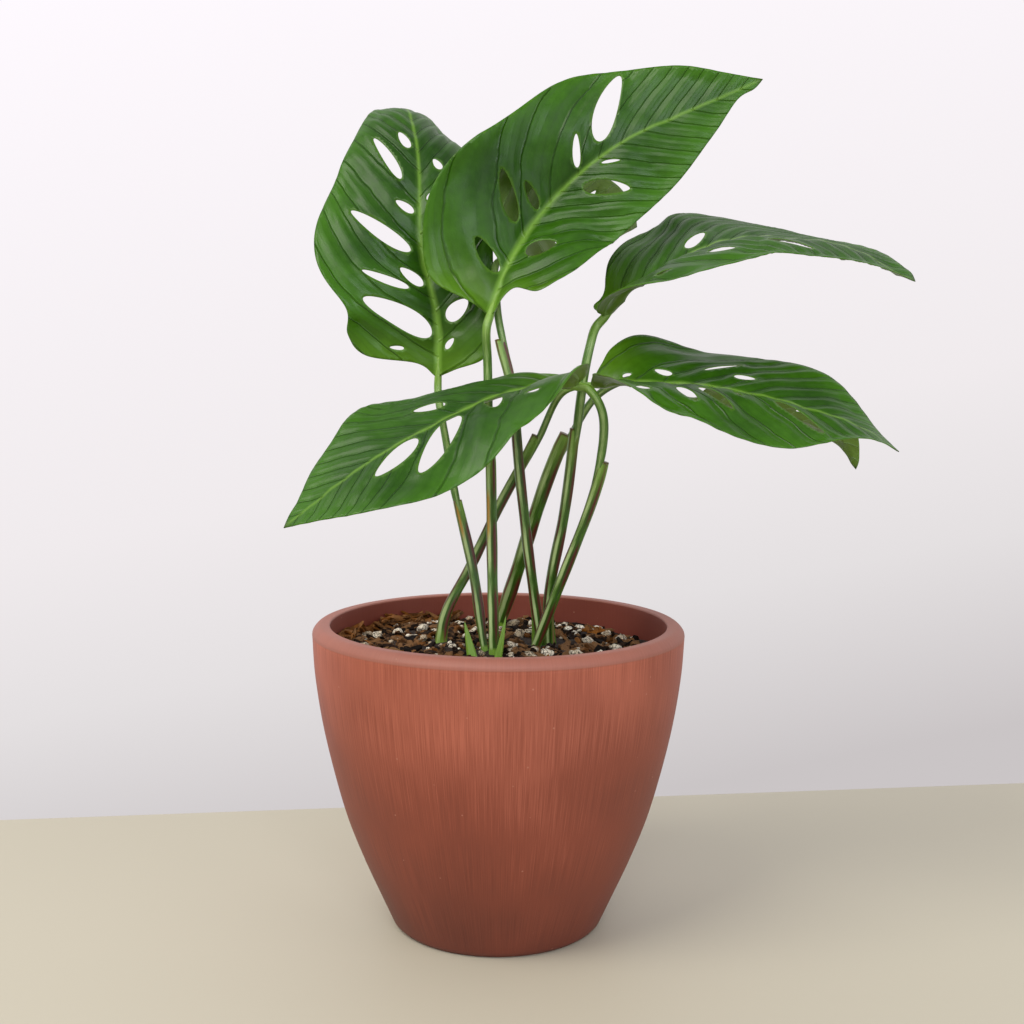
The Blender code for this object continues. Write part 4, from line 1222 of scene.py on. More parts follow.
STALK_FORMS = {
    "back_left": StalkForm(
        route=((-6, -9, 119.5), (-12, -3, 155.5), (-19.3, 4, 185), (-22.5, 10, 202.5), (-25.5, 15, 217.5)),
        sheath=0.55, foot=1.4, sheathed=2.1, bare=1.6,
        wing=0.3, facing=12, scar=(0.42, 0.54)),
    "top": StalkForm(
        route=((-2, -14, 119.5), (-3, -11, 157), (-4, -6, 195), (-5, -2.5, 225), (-5.5, -4.5, 241)),
        sheath=0.6, foot=2.0, sheathed=2.2, bare=1.8,
        wing=0.4, facing=-8, scar=(0.36, 0.5)),
    "right_upper": StalkForm(
        route=((22, 14, 115.5), (21.5, 12, 135), (26, 8.5, 163), (30.2, 4.5, 191.5), (33.2, -1, 222),
               (35, -1, 235), (37.5, 1, 246)),
        sheath=0.66, foot=2.1, sheathed=2.3, bare=1.9,
        wing=-1.1, facing=14),
    "right_lower": StalkForm(
        route=((-24.5, 7, 115), (-23, 7.5, 127), (-13.5, 8.5, 146.5), (0, 9, 174), (17, 6.5, 206),
               (22.5, 0, 219.5), (27, -5, 225)),
        sheath=0.72, foot=2.5, sheathed=2.2, bare=1.45,
        wing=-1.6, young_foot=9.0),
    "front_left": StalkForm(
        route=((14.5, 0, 115), (29, -9, 157.5), (39, -17.5, 191), (41.3, -22, 208), (40, -24.5, 218),
               (37, -24, 223.5)),
        sheath=0.7, foot=1.9, sheathed=2.2, bare=1.8,
        wing=1.7, facing=-12),
    "behind_top": StalkForm(
        route=((18.5, 6, 116.5), (15.5, 5.5, 135.5), (10.5, 2.5, 174.5), (7.6, 2, 205.5), (5, 3, 229.5),
               (1.5, 5.5, 243), (-1.2, 9, 256), (-2.2, 13, 268)),
        sheath=0.76, foot=1.8, sheathed=2.2, bare=1.6,
        wing=-1.3, facing=10),
    "behind_right": StalkForm(
        route=((1, 48, 119), (14.5, 37.5, 162), (28.5, 27.5, 200), (34.5, 24.5, 212), (40, 22.5, 220.5),
               (50, 21, 227.5), (67, 22.5, 228)),
        sheath=0.58, foot=2.3, sheathed=3.1, bare=1.6,
        wing=-2.3, facing=6),
}


@dataclass
class LeafStalk:
    """A leaf stalk: a grooved rod beside a stiff sheath that ends in a square cut.

    name: the leaf's name.
    form: the stalk's form.
    blade: the blade that it carries.
    sides, step: points round it, and the spacing along it in mm.
    """
    name: str
    form: StalkForm
    blade: LeafBlade
    sides: int = 48
    step: float = 1.2

    def centre_line(self) -> Array:
        """The centre line in mm, from below the soil to some way along under the midrib."""
        start, heading, face, _ = (value[0] for value in self.blade.directions(np.array([0.0])))
        under = start - face * STALK_DEPTH
        points = [np.asarray(point, float) for point in self.form.route]
        foot = points[0] - unit(points[1] - points[0]) * ROOT_DEPTH
        points = [foot] + points + [under - heading * reach for reach in STALK_END]
        along, _, faces, _ = self.blade.directions(np.array([3.0, 8.0]))
        points += list(along - faces * np.array([[0.95], [0.7]]))
        return bending_spline(points, 400)

    def rod(self, centre: Array, along: Array, front: Array, side: Array) -> MeshData:
        """The stalk's rod: it narrows to a keel under the midrib, and is grooved in front.

        Args:
            centre: centre line in mm. along: distances along it.
            front, side: directions towards the viewer and sideways at each place.

        Returns:
            The rod as a closed tube.
        """
        form = self.form
        total = along[-1]
        stations = [0, ROOT_DEPTH, ROOT_DEPTH + 12, total - 12, total - 8, total - 4, total]
        bare = form.bare
        radius = np.interp(along, stations, [form.foot, form.foot, bare, bare, bare * 0.95, bare * 0.7, 0.35])
        hidden = np.clip((total * form.sheath + 2 - along) / 14, 0, 1)
        radius = radius * (1 - 0.34 * hidden)
        centre = centre - front * (0.45 * hidden)[:, None]
        turn = full_turn(self.sides)
        bend = from_front(turn)
        groove_and_painted_light = falloff(bend, 0.5)
        wobble = value_noise(np.stack([along, along * 0 + form.sheath * 50, along * 0], -1), 9, 11)
        shape = (1 - 0.1 * groove_and_painted_light)[None] * (1 + 0.03 * wobble)[:, None]
        ring = front[:, None] * np.cos(turn)[:, None] + side[:, None] * np.sin(turn)[:, None]
        points = centre[:, None] + ring * (radius[:, None] * shape)[..., None]
        part = along / total
        young = np.clip(1.6 - (along - ROOT_DEPTH) / max(form.young_foot, 0.1), 0, 1) * (form.young_foot > 0)
        joint = np.clip((along - total + 26) / 20, 0, 1) * 0.8
        values = {
            "edge": 0 * shape,
            # Painted highlight: a pale strip down the grooved front.
            "groove_and_painted_light": groove_and_painted_light[None] * 0.5 + 0 * shape,
            "ochre": 0 * shape,
            "young": np.maximum(young, joint)[:, None] + 0 * shape,
        }
        flat = 0 * shape
        return closed_tube(points, values, bend[None] * 0.5 + flat, along[:, None] / 10 + flat)

    def sheath(self, centre: Array, along: Array, front: Array, side: Array) -> MeshData:
        """The sheath: a flat strip beside the rod, with dry edges, cut off square at its end.

        Args:
            centre: centre line in mm. along: distances along it.
            front, side: directions towards the viewer and sideways at each place.

        Returns:
            The sheath as a closed tube.
        """
        form = self.form
        held = along <= along[-1] * form.sheath
        centre, front, side, reach = centre[held], front[held], side[held], along[held]
        part = reach / reach[-1]
        shift = form.wing * (0.1 + 0.9 * part ** 2.2)
        wide = np.interp(reach, [0, ROOT_DEPTH, ROOT_DEPTH + 15, reach[-1] - 6, reach[-1]],
                         [form.foot, form.foot * 1.02, form.sheathed, form.sheathed, form.sheathed * 0.9])
        thick = wide * (0.86 - 0.12 * part)
        middle = centre + side * shift[:, None]
        turn = full_turn(self.sides)
        bend = from_front(turn)
        forward = np.sign(np.cos(turn)) * np.abs(np.cos(turn)) ** 0.8
        sideways = np.sign(np.sin(turn)) * np.abs(np.sin(turn)) ** 0.9
        hollow = 1 - 0.42 * falloff(bend, 0.5) + 0.1 * falloff(bend - 0.95, 0.2)
        ragged = value_noise(np.stack([reach, 0 * reach, 0 * reach + form.bare], -1), 14, 2)
        ring = front[:, None] * (forward * hollow)[None, :, None] * thick[:, None, None]
        ring = ring + side[:, None] * sideways[None, :, None] * (wide * (1 + 0.05 * ragged))[:, None, None]
        points = middle[:, None] + ring
        flat = 0 * points[..., 0]
        right_lip = 1.8 * falloff(turn - 0.66, 0.3)
        left_lip = 1.6 * falloff(turn - 5.3, 0.24)
        worn = np.clip(0.85 + 1.1 * ragged, 0, 1)
        lip = right_lip[None] * worn[:, None] + left_lip[None] * (1 - 0.75 * worn[::-1])[:, None]
        lip = lip * rising(reach, ROOT_DEPTH, 10)[:, None]
        cut = rising(part, 0.992, 0.008)[:, None]
        # Painted light and shade: the left facet is painted paler as a highlight and the right facet darker
        # as shade.
        facet = falloff(turn - 5.85, 0.4) - 0.45 * falloff(turn - 0.35, 0.4)
        low, high = form.scar
        whole = reach / along[-1]
        scar = rising(whole, low, 0.03) * np.clip((high - whole) / 0.03, 0, 1)
        values = {
            "edge": np.clip(np.maximum(lip, 0.8 * cut), 0, 1) + flat,
            "groove_and_painted_light": facet[None] * (0.85 + 0.6 * ragged)[:, None] + flat,
            "ochre": scar[:, None] * falloff(turn[None] - 5.75, 0.3) + flat,
            "young": np.clip(1 - (reach - ROOT_DEPTH) / max(form.young_foot, 0.1), 0, 1)[:, None] + flat,
        }
        values["young"] = np.maximum(values["young"], 0.8 * rising(part, 0.8, 0.2)[:, None])
        return closed_tube(points, values, bend[None] * 0.5 + 3 + flat, reach[:, None] / 10 + flat)

    def mesh(self) -> MeshData:
        """The rod and its sheath, with their edge, groove, ochre and young values; the groove value paints
        their highlight and shade.
        """
        line = self.centre_line()
        total = path_length(line)[-1]
        along = np.linspace(0, total, int(total / self.step))
        centre = points_along(line, along)
        heading = unit(np.gradient(centre, along, axis=0))
        facing = math.radians(self.form.facing)
        view = np.array([math.sin(facing), -math.cos(facing), 0.15])
        front = unit(view - heading * (heading @ view)[:, None])
        side = np.cross(heading, front)
        rod = self.rod(centre, along, front, side)
        return rod.joined(self.sheath(centre, along, front, side))

    def build(self, material: Material) -> bpy.types.Object:
        """Make the stalk and put it in its node's place."""
        node = f"leaf_{self.name}_stalk"
        return add_piece(f"stalk_{self.name}", self.mesh(), material, (node,))


DRY_NODE = "dry_sheath"


@dataclass
class YoungSpike:
    """A young spike or a dry sheath: a slim, folded blade that leans from the soil to its tip.

    name: the node that it stands for.
    foot, tip: its ends in mm. radius: radius at the foot in mm.
    """
    name: str
    foot: tuple[float, float, float]
    tip: tuple[float, float, float]
    radius: float
    sides: int = 20
    rings: int = 30

    def mesh(self) -> MeshData:
        """The spike as a closed cone that narrows as (1 - part)^0.75 and is grooved in front."""
        foot, tip = np.asarray(self.foot, float), np.asarray(self.tip, float)
        way = tip - foot
        part = np.linspace(-0.45, 1, self.rings)
        above = np.maximum(part, 0)
        bow = np.array([way[1], -way[0], 0.0]) * 0.1
        centre = foot + way * part[:, None] + bow * (above * (1 - above))[:, None]
        heading = unit(np.gradient(centre, part, axis=0))
        view = np.array([0.2, -1.0, 0.1])
        front = unit(view - heading * (heading @ view)[:, None])
        side = np.cross(heading, front)
        turn = full_turn(self.sides)
        size = self.radius * np.maximum(1 - above, 0.004) ** 0.75
        bend = from_front(turn)
        shape = 1 - 0.35 * falloff(bend, 0.45)
        radius = size[:, None] * shape[None]
        ring = front[:, None] * np.cos(turn)[:, None] * 0.85 + side[:, None] * np.sin(turn)[:, None]
        points = centre[:, None] + ring * radius[..., None]
        flat = 0 * radius
        values = {
            "edge": rising(part, 0.93, 0.07)[:, None] + flat,
            # Painted highlight: a pale strip down the grooved front.
            "groove_and_painted_light": falloff(bend, 0.5)[None] + flat,
            "ochre": flat,
            "young": flat + (self.name != DRY_NODE),
        }
        return closed_tube(points, values, bend[None] * 0.5 + flat, part[:, None] * 2 + flat)

    def build(self, material: Material, slot: str) -> bpy.types.Object:
        """Make the spike and put it in its node's place."""
        return add_piece(f"piece_{self.name}", self.mesh(), material, (self.name,))


# Pot and potting mix

@dataclass
class ClayPot:
    """The pot: a turned shell with a rounded, slightly chamfered rim and drain holes.

    Sizes in mm: outer profile as (height, radius), then rim, walls, floor and drain holes. The six
    radii between the base and the rim were fitted by a program to the pot's edges in the photo.
    """
    outer: Pairs = ((0, 43.5), (14, 49.8), (30, 56.8), (48, 63.6), (68, 69.1), (88, 73.5), (108, 76.4),
                    (124.5, 77.45))
    height: float = 128.0
    rim_radius: float = 77.5
    wall_at_rim: float = 7.4
    wall_at_floor: float = 6.0
    floor: float = 7.0
    base_radius: float = 42.0
    drains: int = 4
    drain_radius: float = 5.0
    drain_circle: float = 22.0
    steps: int = 256

    def outer_radius(self, height: Array) -> Array:
        """Outer radius at heights: a smooth curve through the outer profile."""
        curve = round_along(np.array(self.outer, float), 12)
        return np.interp(height, curve[:, 0], curve[:, 1])

    def inner_radius(self, height: Array) -> Array:
        """Inner radius at heights."""
        growth = (self.wall_at_rim - self.wall_at_floor) * np.asarray(height) / self.height
        return self.outer_radius(height) - (self.wall_at_floor + growth)

    def profile(self) -> tuple[Array, Array]:
        """The turned outline in mm.

        Returns:
            (radius, height) from the middle of the inner floor over the rim to the middle of the
            base, and for each point what it belongs to: 0 inside, 1 rim, 2 outside.
        """
        top = self.height
        inner_heights = np.linspace(self.floor + 6, top - 0.8, 40)
        corner = np.linspace(0, math.pi / 2, 8)
        low = self.inner_radius(self.floor + 6)
        floor_curve = np.stack([low - 6 + 6 * np.sin(corner), self.floor + 6 - 6 * np.cos(corner)], -1)
        inside = [np.stack([np.linspace(0, low - 8, 12), np.full(12, self.floor)], -1), floor_curve]
        inside.append(np.stack([self.inner_radius(inner_heights), inner_heights], -1)[1:])
        edge = self.inner_radius(top - 0.8)
        lip = round_along(np.array([(edge + 0.05, top - 0.5), (edge + 0.5, top - 0.08), (edge + 2.0, top),
                                    (edge + 4.2, top - 0.05), (self.rim_radius - 1.6, top - 1.0),
                                    (self.rim_radius - 0.35, top - 2.6),
                                    (self.rim_radius - 0.05, top - 3.9)]), 6)
        bead = np.array([(self.rim_radius - 0.22, top - 4.3), (self.rim_radius - 0.12, top - 4.8)])
        outer_heights = np.linspace(top - 5.4, 3.0, 90)
        outer_radii = np.minimum(self.outer_radius(outer_heights), self.rim_radius - 0.05)
        outside = np.stack([outer_radii, outer_heights], -1)
        foot = round_along(np.array([(self.outer_radius(2.2), 2.2), (self.base_radius + 1.1, 0.7),
                                     (self.base_radius, 0.0)]), 5)
        base = np.stack([np.linspace(self.base_radius - 1.5, 0, 14), np.zeros(14)], -1)
        groups = [(np.vstack(inside), 0), (lip, 1), (bead, 2), (outside, 2), (foot, 2), (base, 2)]
        belongs = np.concatenate([np.full(len(points), kind) for points, kind in groups])
        return np.vstack([points for points, _ in groups]), belongs

    def mesh(self) -> MeshData:
        """The pot's shell: its profile turned about +Z, with a slow wobble of about 0.15 mm."""
        profile, belongs = self.profile()
        turn = full_turn(self.steps)
        middle = profile[1:-1]
        radius = middle[:, :1] + 0 * turn[None]
        level = middle[:, 1:]
        around = as_points(np.cos(turn) * 60, np.sin(turn) * 60, level)
        upright = rising(level, 4, 10) * np.clip((self.height - level) / 6, 0, 1)
        radius = radius - np.abs(value_noise(around, 45, 4)) * 0.12 * upright
        points = as_points(radius * np.cos(turn), radius * np.sin(turn), level)
        rows = len(middle)
        points = np.vstack([points.reshape(-1, 3), [0, 0, profile[0, 1]], [0, 0, profile[-1, 1]]])
        faces = [group[:, ::-1] for group in closed_grid_faces(rows, self.steps)]
        kind = np.repeat(belongs[1:-1], self.steps)
        height = np.repeat(middle[:, 1], self.steps)
        wide = np.repeat(middle[:, 0], self.steps)
        values = {
            "lip": np.append(np.where((kind == 1) & (wide < self.rim_radius + 1), 0.75, 0.0), [0, 0]),
            # Painted shade: marks the inside of the pot, which is painted darker.
            "inner": np.append(np.where(kind == 0, 0.9, 0.0), [0.9, 0.0]),
            "low": np.append(0.46 * (1 - height / self.height) ** 1.2, [0, 0]),
        }
        flat = as_points(turn * 0.07, level * MM).reshape(-1, 2)
        return MeshData(points * MM, faces, values, {"wall": np.vstack([flat, [0, 0], [0, 0]])})

    def build(self, material: Material) -> bpy.types.Object:
        """Make the pot, cut its drain holes and put it in its node's place."""
        pot = add_piece("clay_pot", self.mesh(), material, ("pot",))
        self.cut_drains(pot)
        return pot

    def cut_drains(self, pot: bpy.types.Object) -> None:
        """Cut the drain holes through the floor and make the cut part of the mesh."""
        sides = 32
        turn = full_turn(sides)
        angles = 2 * math.pi * (np.arange(self.drains) + 0.5) / self.drains
        cutters = []
        for angle in angles:
            ring = np.stack([np.cos(turn), np.sin(turn), 0 * turn], -1) * self.drain_radius
            ring = ring + np.array([math.cos(angle), math.sin(angle), 0]) * self.drain_circle
            points = np.vstack([ring + [0, 0, -8], ring + [0, 0, self.floor + 8]]) * MM
            mesh = bpy.data.meshes.new("drain")
            lids = [list(range(sides))[::-1], list(range(sides, 2 * sides))]
            mesh.from_pydata(points.tolist(), [], grid_faces(2, sides, True).tolist() + lids)
            cutters.append(add_object("drain", mesh))
            cut = pot.modifiers.new("drain", "BOOLEAN")
            cut.operation = "DIFFERENCE"
            cut.solver = "EXACT"
            cut.object = cutters[-1]
        bpy.context.view_layer.update()
        graph = bpy.context.evaluated_depsgraph_get()
        whole = bpy.data.meshes.new_from_object(pot.evaluated_get(graph), depsgraph=graph)
        pot.modifiers.clear()
        pot.data = whole
        for cutter in cutters:
            bpy.data.objects.remove(cutter, do_unlink=True)


@dataclass
class PottingMix:
    """Bark, peat and perlite: a crumbly bed with loose chips and lumps on it.

    pot: the pot that holds it. stems: (x, y, radius) in mm of what stands in it.
    level, crown, roughness: height of the bed, its rise in the middle and its unevenness in mm.
    chips, lumps, strips: how many bark chips, perlite lumps and long bark strips lie on it.
    strip_arc: where the strips lie, in degrees round the pot from +X.
    reach: how far from the middle chips and lumps lie, in mm.
    warm_patch: (x, y, radius) in mm of the orange chips at the right.
    """
    pot: ClayPot
    stems: list[tuple[float, float, float]]
    level: float = 115.5
    crown: float = 1.5
    roughness: float = 1.2
    chips: int = 1500
    lumps: int = 300
    strips: int = 110
    strip_arc: tuple[float, float] = (108.0, 178.0)
    reach: float = 63.5
    warm_patch: tuple[float, float, float] = (42.0, 34.0, 6.0)
    seed: int = 5

    def height(self, x: Array, y: Array) -> Array:
        """Height of the bed at places in mm: a low crown with noise at 11, 4.5 and 2 mm."""
        reach = np.minimum(np.hypot(x, y) / self.pot.rim_radius, 1)
        spot = np.stack([x, y, 0 * x], -1)
        rough = value_noise(spot, 11, 21) + 0.6 * value_noise(spot, 4.5, 22)
        rough = rough + 0.35 * value_noise(spot, 2.0, 23)
        return self.level + self.crown * np.cos(reach * math.pi / 2) + self.roughness * rough

    def bed(self) -> MeshData:
        """The bed: a closed solid with an uneven top, a little inside the pot's wall."""
        turn = full_turn(360)
        edge = float(self.pot.inner_radius(self.level)) - 0.35
        reach = np.linspace(0.5, edge, 90)
        x, y = reach[:, None] * np.cos(turn), reach[:, None] * np.sin(turn)
        top = np.stack([x, y, self.height(x, y)], -1)
        side_heights = np.array([112, 80, 45, 16, 8.0])
        radius = self.pot.inner_radius(side_heights) - 0.4
        radius[-1] -= 5
        across = radius[:, None]
        side = as_points(across * np.cos(turn), across * np.sin(turn), side_heights[:, None])
        middle = self.height(np.zeros(1), np.zeros(1))[0]
        poles = [[0, 0, middle], [0, 0, side_heights[-1]]]
        points = np.vstack([top.reshape(-1, 3), side.reshape(-1, 3), poles])
        faces = closed_grid_faces(len(top) + len(side), len(turn))
        return MeshData(points * MM, [group[:, ::-1] for group in faces])

    def spots(self, rng: np.random.Generator, count: int, margin: float, reach: float) -> Array:
        """Random places on the bed in mm, clear of the stems and of the wall.

        Args:
            rng: seeded random numbers.
            count: how many.
            margin: least distance to a stem's skin.
            reach: furthest distance from the middle.

        Returns:
            Places, two numbers each.
        """
        found = np.zeros((0, 2))
        while len(found) < count:
            angle = rng.uniform(0, 2 * math.pi, 4 * count)
            far = reach * np.sqrt(rng.random(4 * count))
            tried = np.stack([far * np.cos(angle), far * np.sin(angle)], -1)
            for x, y, radius in self.stems:
                tried = tried[np.hypot(tried[:, 0] - x, tried[:, 1] - y) > radius + margin]
            found = np.vstack([found, tried])
        return found[:count]

    def turned(self, rng: np.random.Generator, spin: Array, tilt: float) -> Array:
        """Turns about +Z by given angles, after random tilts.

        Args:
            rng: seeded random numbers.
            spin: angles about +Z in radians, one for each piece.
            tilt: largest tilt in radians.

        Returns:
            One 3 by 3 matrix for each piece.
        """
        count = len(spin)
        lean, roll = rng.uniform(-tilt, tilt, count), rng.uniform(-tilt, tilt, count)
        zero, one = np.zeros(count), np.ones(count)
        about_z = np.array([[np.cos(spin), -np.sin(spin), zero], [np.sin(spin), np.cos(spin), zero],
                            [zero, zero, one]])
        about_x = np.array([[one, zero, zero], [zero, np.cos(lean), -np.sin(lean)],
                            [zero, np.sin(lean), np.cos(lean)]])
        about_y = np.array([[np.cos(roll), zero, np.sin(roll)], [zero, one, zero],
                            [-np.sin(roll), zero, np.cos(roll)]])
        return np.einsum("ijn,jkn,kln->nil", about_z, about_x, about_y)

    def slab(self) -> tuple[Array, list[Array]]:
        """One bark slab of half size one: a box with blunt edges and tapered ends."""
        length = np.linspace(-1, 1, 5)
        body = 1 - 0.4 * np.abs(length) ** 3
        turn = full_turn(8) + math.pi / 8
        across = np.sign(np.cos(turn)) * np.abs(np.cos(turn)) ** 0.5
        upwards = np.sign(np.sin(turn)) * np.abs(np.sin(turn)) ** 0.5
        sides = as_points(length[:, None], across * body[:, None], upwards * body[:, None])
        points = np.vstack([sides.reshape(-1, 3), [-1.05, 0, 0], [1.05, 0, 0]])
        return points, closed_grid_faces(len(length), len(turn))

    def bark(self) -> MeshData:
        """Bark: loose ragged chips, and long strips that lie along the wall at the back left."""
        rng = np.random.default_rng(self.seed)
        limit = float(self.pot.inner_radius(self.level)) - 0.6
        arc = np.radians(rng.uniform(*self.strip_arc, self.strips))
        away = limit - rng.uniform(0.5, 5.0, self.strips)
        places = np.vstack([self.spots(rng, self.chips, 2.5, self.reach),
                            np.stack([away * np.cos(arc), away * np.sin(arc)], -1)])
        spin = np.concatenate([rng.uniform(0, 2 * math.pi, self.chips),
                               arc + math.pi / 2 + rng.uniform(-0.4, 0.4, self.strips)])
        small = rng.random(self.chips) < 0.76
        ranges = (((1.2, 2.4), (2.4, 5.4)), ((0.6, 1.3), (1.2, 2.4)))
        flat_sizes = [np.where(small, rng.uniform(*fine, self.chips), rng.uniform(*coarse, self.chips))
                      for fine, coarse in ranges]
        chip = np.stack([*flat_sizes, rng.uniform(0.4, 1.1, self.chips)], -1)
        strip = np.stack([rng.uniform(2.5, 6.0, self.strips), rng.uniform(0.8, 1.8, self.strips),
                          rng.uniform(0.4, 0.9, self.strips)], -1)
        half = np.vstack([chip, strip])
        count = len(half)
        template, faces = self.slab()
        shift = rng.uniform(-40, 40, (count, 1, 3))
        rough = np.stack([value_noise(template[None] * 1.6 + shift, 0.8, seed) for seed in (31, 32, 33)], -1)
        near_stem = np.min([np.hypot(places[:, 0] - x, places[:, 1] - y) for x, y, _ in self.stems], 0)
        shrink = np.clip((near_stem - 3.0) / 6.0, 0.35, 1)
        shaped = (template[None] + rough * 0.34) * (half * shrink[:, None])[:, None]
        turned = np.einsum("nij,npj->npi", self.turned(rng, spin, 0.65), shaped)
        heap = np.concatenate([np.zeros(self.chips), rng.uniform(0.3, 3.4, self.strips)])
        ground = self.height(places[:, 0], places[:, 1]) + half[:, 2] * rng.uniform(0.1, 1.1, count) + heap
        turned += np.concatenate([places, ground[:, None]], 1)[:, None]
        far = np.hypot(turned[..., 0], turned[..., 1])
        turned[..., :2] *= np.minimum(1, limit / np.maximum(far, 1e-6))[..., None]
        patch_x, patch_y, patch_radius = self.warm_patch
        patch = np.hypot(places[:, 0] - patch_x, places[:, 1] - patch_y) < patch_radius
        warm = np.where(patch, rng.uniform(0.3, 0.9, count), rng.random(count) ** 9 * 0.5)
        warm[self.chips:] = rng.uniform(0.05, 0.65, self.strips)
        points, groups = repeated(turned, faces)
        each = template.shape[0]
        fibre = np.tile(template[:, :2] * 2, (count, 1)) + np.repeat(shift[:, 0, :2], each, axis=0)
        values = {"tone": np.repeat(rng.uniform(0.0, 0.75, count), each), "warm": np.repeat(warm, each)}
        return MeshData(points * MM, groups, values, {"fibre": fibre})

    def perlite(self) -> MeshData:
        """Perlite lumps: knobbly balls from 1 to 5.5 mm across, two thirds of them small."""
        rng = np.random.default_rng(self.seed + 1)
        places = self.spots(rng, self.lumps, 2.2, self.reach)
        rows, columns = 9, 14
        polar = np.linspace(0, math.pi, rows + 2)[1:-1, None]
        turn = full_turn(columns)
        sides = as_points(np.sin(polar) * np.cos(turn), np.sin(polar) * np.sin(turn), np.cos(polar))
        ball = np.vstack([sides.reshape(-1, 3), [0, 0, 1], [0, 0, -1]])
        big = rng.random(self.lumps) < 0.32
        size = np.where(big, rng.uniform(1.3, 2.4, self.lumps), rng.uniform(0.5, 1.2, self.lumps))
        stretch = np.stack([rng.uniform(1.0, 1.5, self.lumps), np.ones(self.lumps),
                            rng.uniform(0.65, 0.9, self.lumps)], -1)
        shift = rng.uniform(-40, 40, (self.lumps, 1, 3))
        spot = ball[None] + shift
        knobs = 0.34 * value_noise(spot, 0.8, 41) + 0.2 * value_noise(spot, 0.38, 42)
        shaped = ball[None] * (1 + knobs)[..., None] * (size[:, None] * stretch)[:, None]
        spin = rng.uniform(0, 2 * math.pi, self.lumps)
        turned = np.einsum("nij,npj->npi", self.turned(rng, spin, 0.6), shaped)
        ground = self.height(places[:, 0], places[:, 1]) + size * rng.uniform(0.2, 0.8, self.lumps)
        turned += np.concatenate([places, ground[:, None]], 1)[:, None]
        points, groups = repeated(turned, closed_grid_faces(rows, columns))
        return MeshData(points * MM, groups, {"tone": np.repeat(rng.random(self.lumps), len(ball))})

    def build(self, peat: Material, bark: Material, perlite: Material) -> None:
        """Make the bed, the bark and the perlite."""
        add_piece("peat_bed", self.bed(), peat, ("soil",))
        add_piece("bark_chips", self.bark(), bark, smooth=False)
        add_piece("perlite_lumps", self.perlite(), perlite)


# Stage, camera and lights

@dataclass(frozen=True)
class Viewpoint:
    """The photograph's viewpoint: place in mm, turns in degrees and lens in mm."""
    place: tuple[float, float, float] = (0.0, -587.16, 238.57)
    pitch: float = 6.254
    yaw: float = 0.510
    roll: float = -0.434
    lens: float = 50.0
    sensor: float = 36.0

    def build(self) -> bpy.types.Object:
        """Make the camera.

        Returns:
            The camera: it looks along +Y, turned right by yaw, down by pitch and rolled.
        """
        pitch, yaw, roll = (math.radians(value) for value in (self.pitch, self.yaw, self.roll))
        ahead = Vector((math.sin(yaw) * math.cos(pitch), math.cos(yaw) * math.cos(pitch), -math.sin(pitch)))
        right = Vector((math.cos(yaw), -math.sin(yaw), 0.0))
        up = right.cross(ahead)
        across = right * math.cos(roll) - up * math.sin(roll)
        upright = right * math.sin(roll) + up * math.cos(roll)
        camera = add_object("viewpoint", bpy.data.cameras.new("viewpoint"))
        turn = Matrix((across, upright, -ahead)).transposed().to_4x4()
        camera.matrix_world = Matrix.Translation(Vector(self.place) * MM) @ turn
        camera.data.lens = self.lens
        camera.data.sensor_width = self.sensor
        camera.data.clip_start = 0.02
        camera.data.clip_end = 20.0
        bpy.context.scene.camera = camera
        return camera


@dataclass(frozen=True)
class Lamp:
    """One soft square light: its place, what it points at and its side in metres, and its watts."""
    name: str
    place: tuple[float, float, float]
    target: tuple[float, float, float]
    size: float
    power: float
    colour: str

    def build(self) -> None:
        """Hang the light."""
        data = bpy.data.lights.new(self.name, "AREA")
        data.shape = "SQUARE"
        data.size = self.size
        data.energy = self.power
        data.color = linear_colour(self.colour)[:3]
        lamp = add_object(self.name, data)
        lamp.location = self.place
        lamp.rotation_mode = "QUATERNION"
        lamp.rotation_quaternion = (Vector(self.target) - Vector(self.place)).to_track_quat("-Z", "Y")


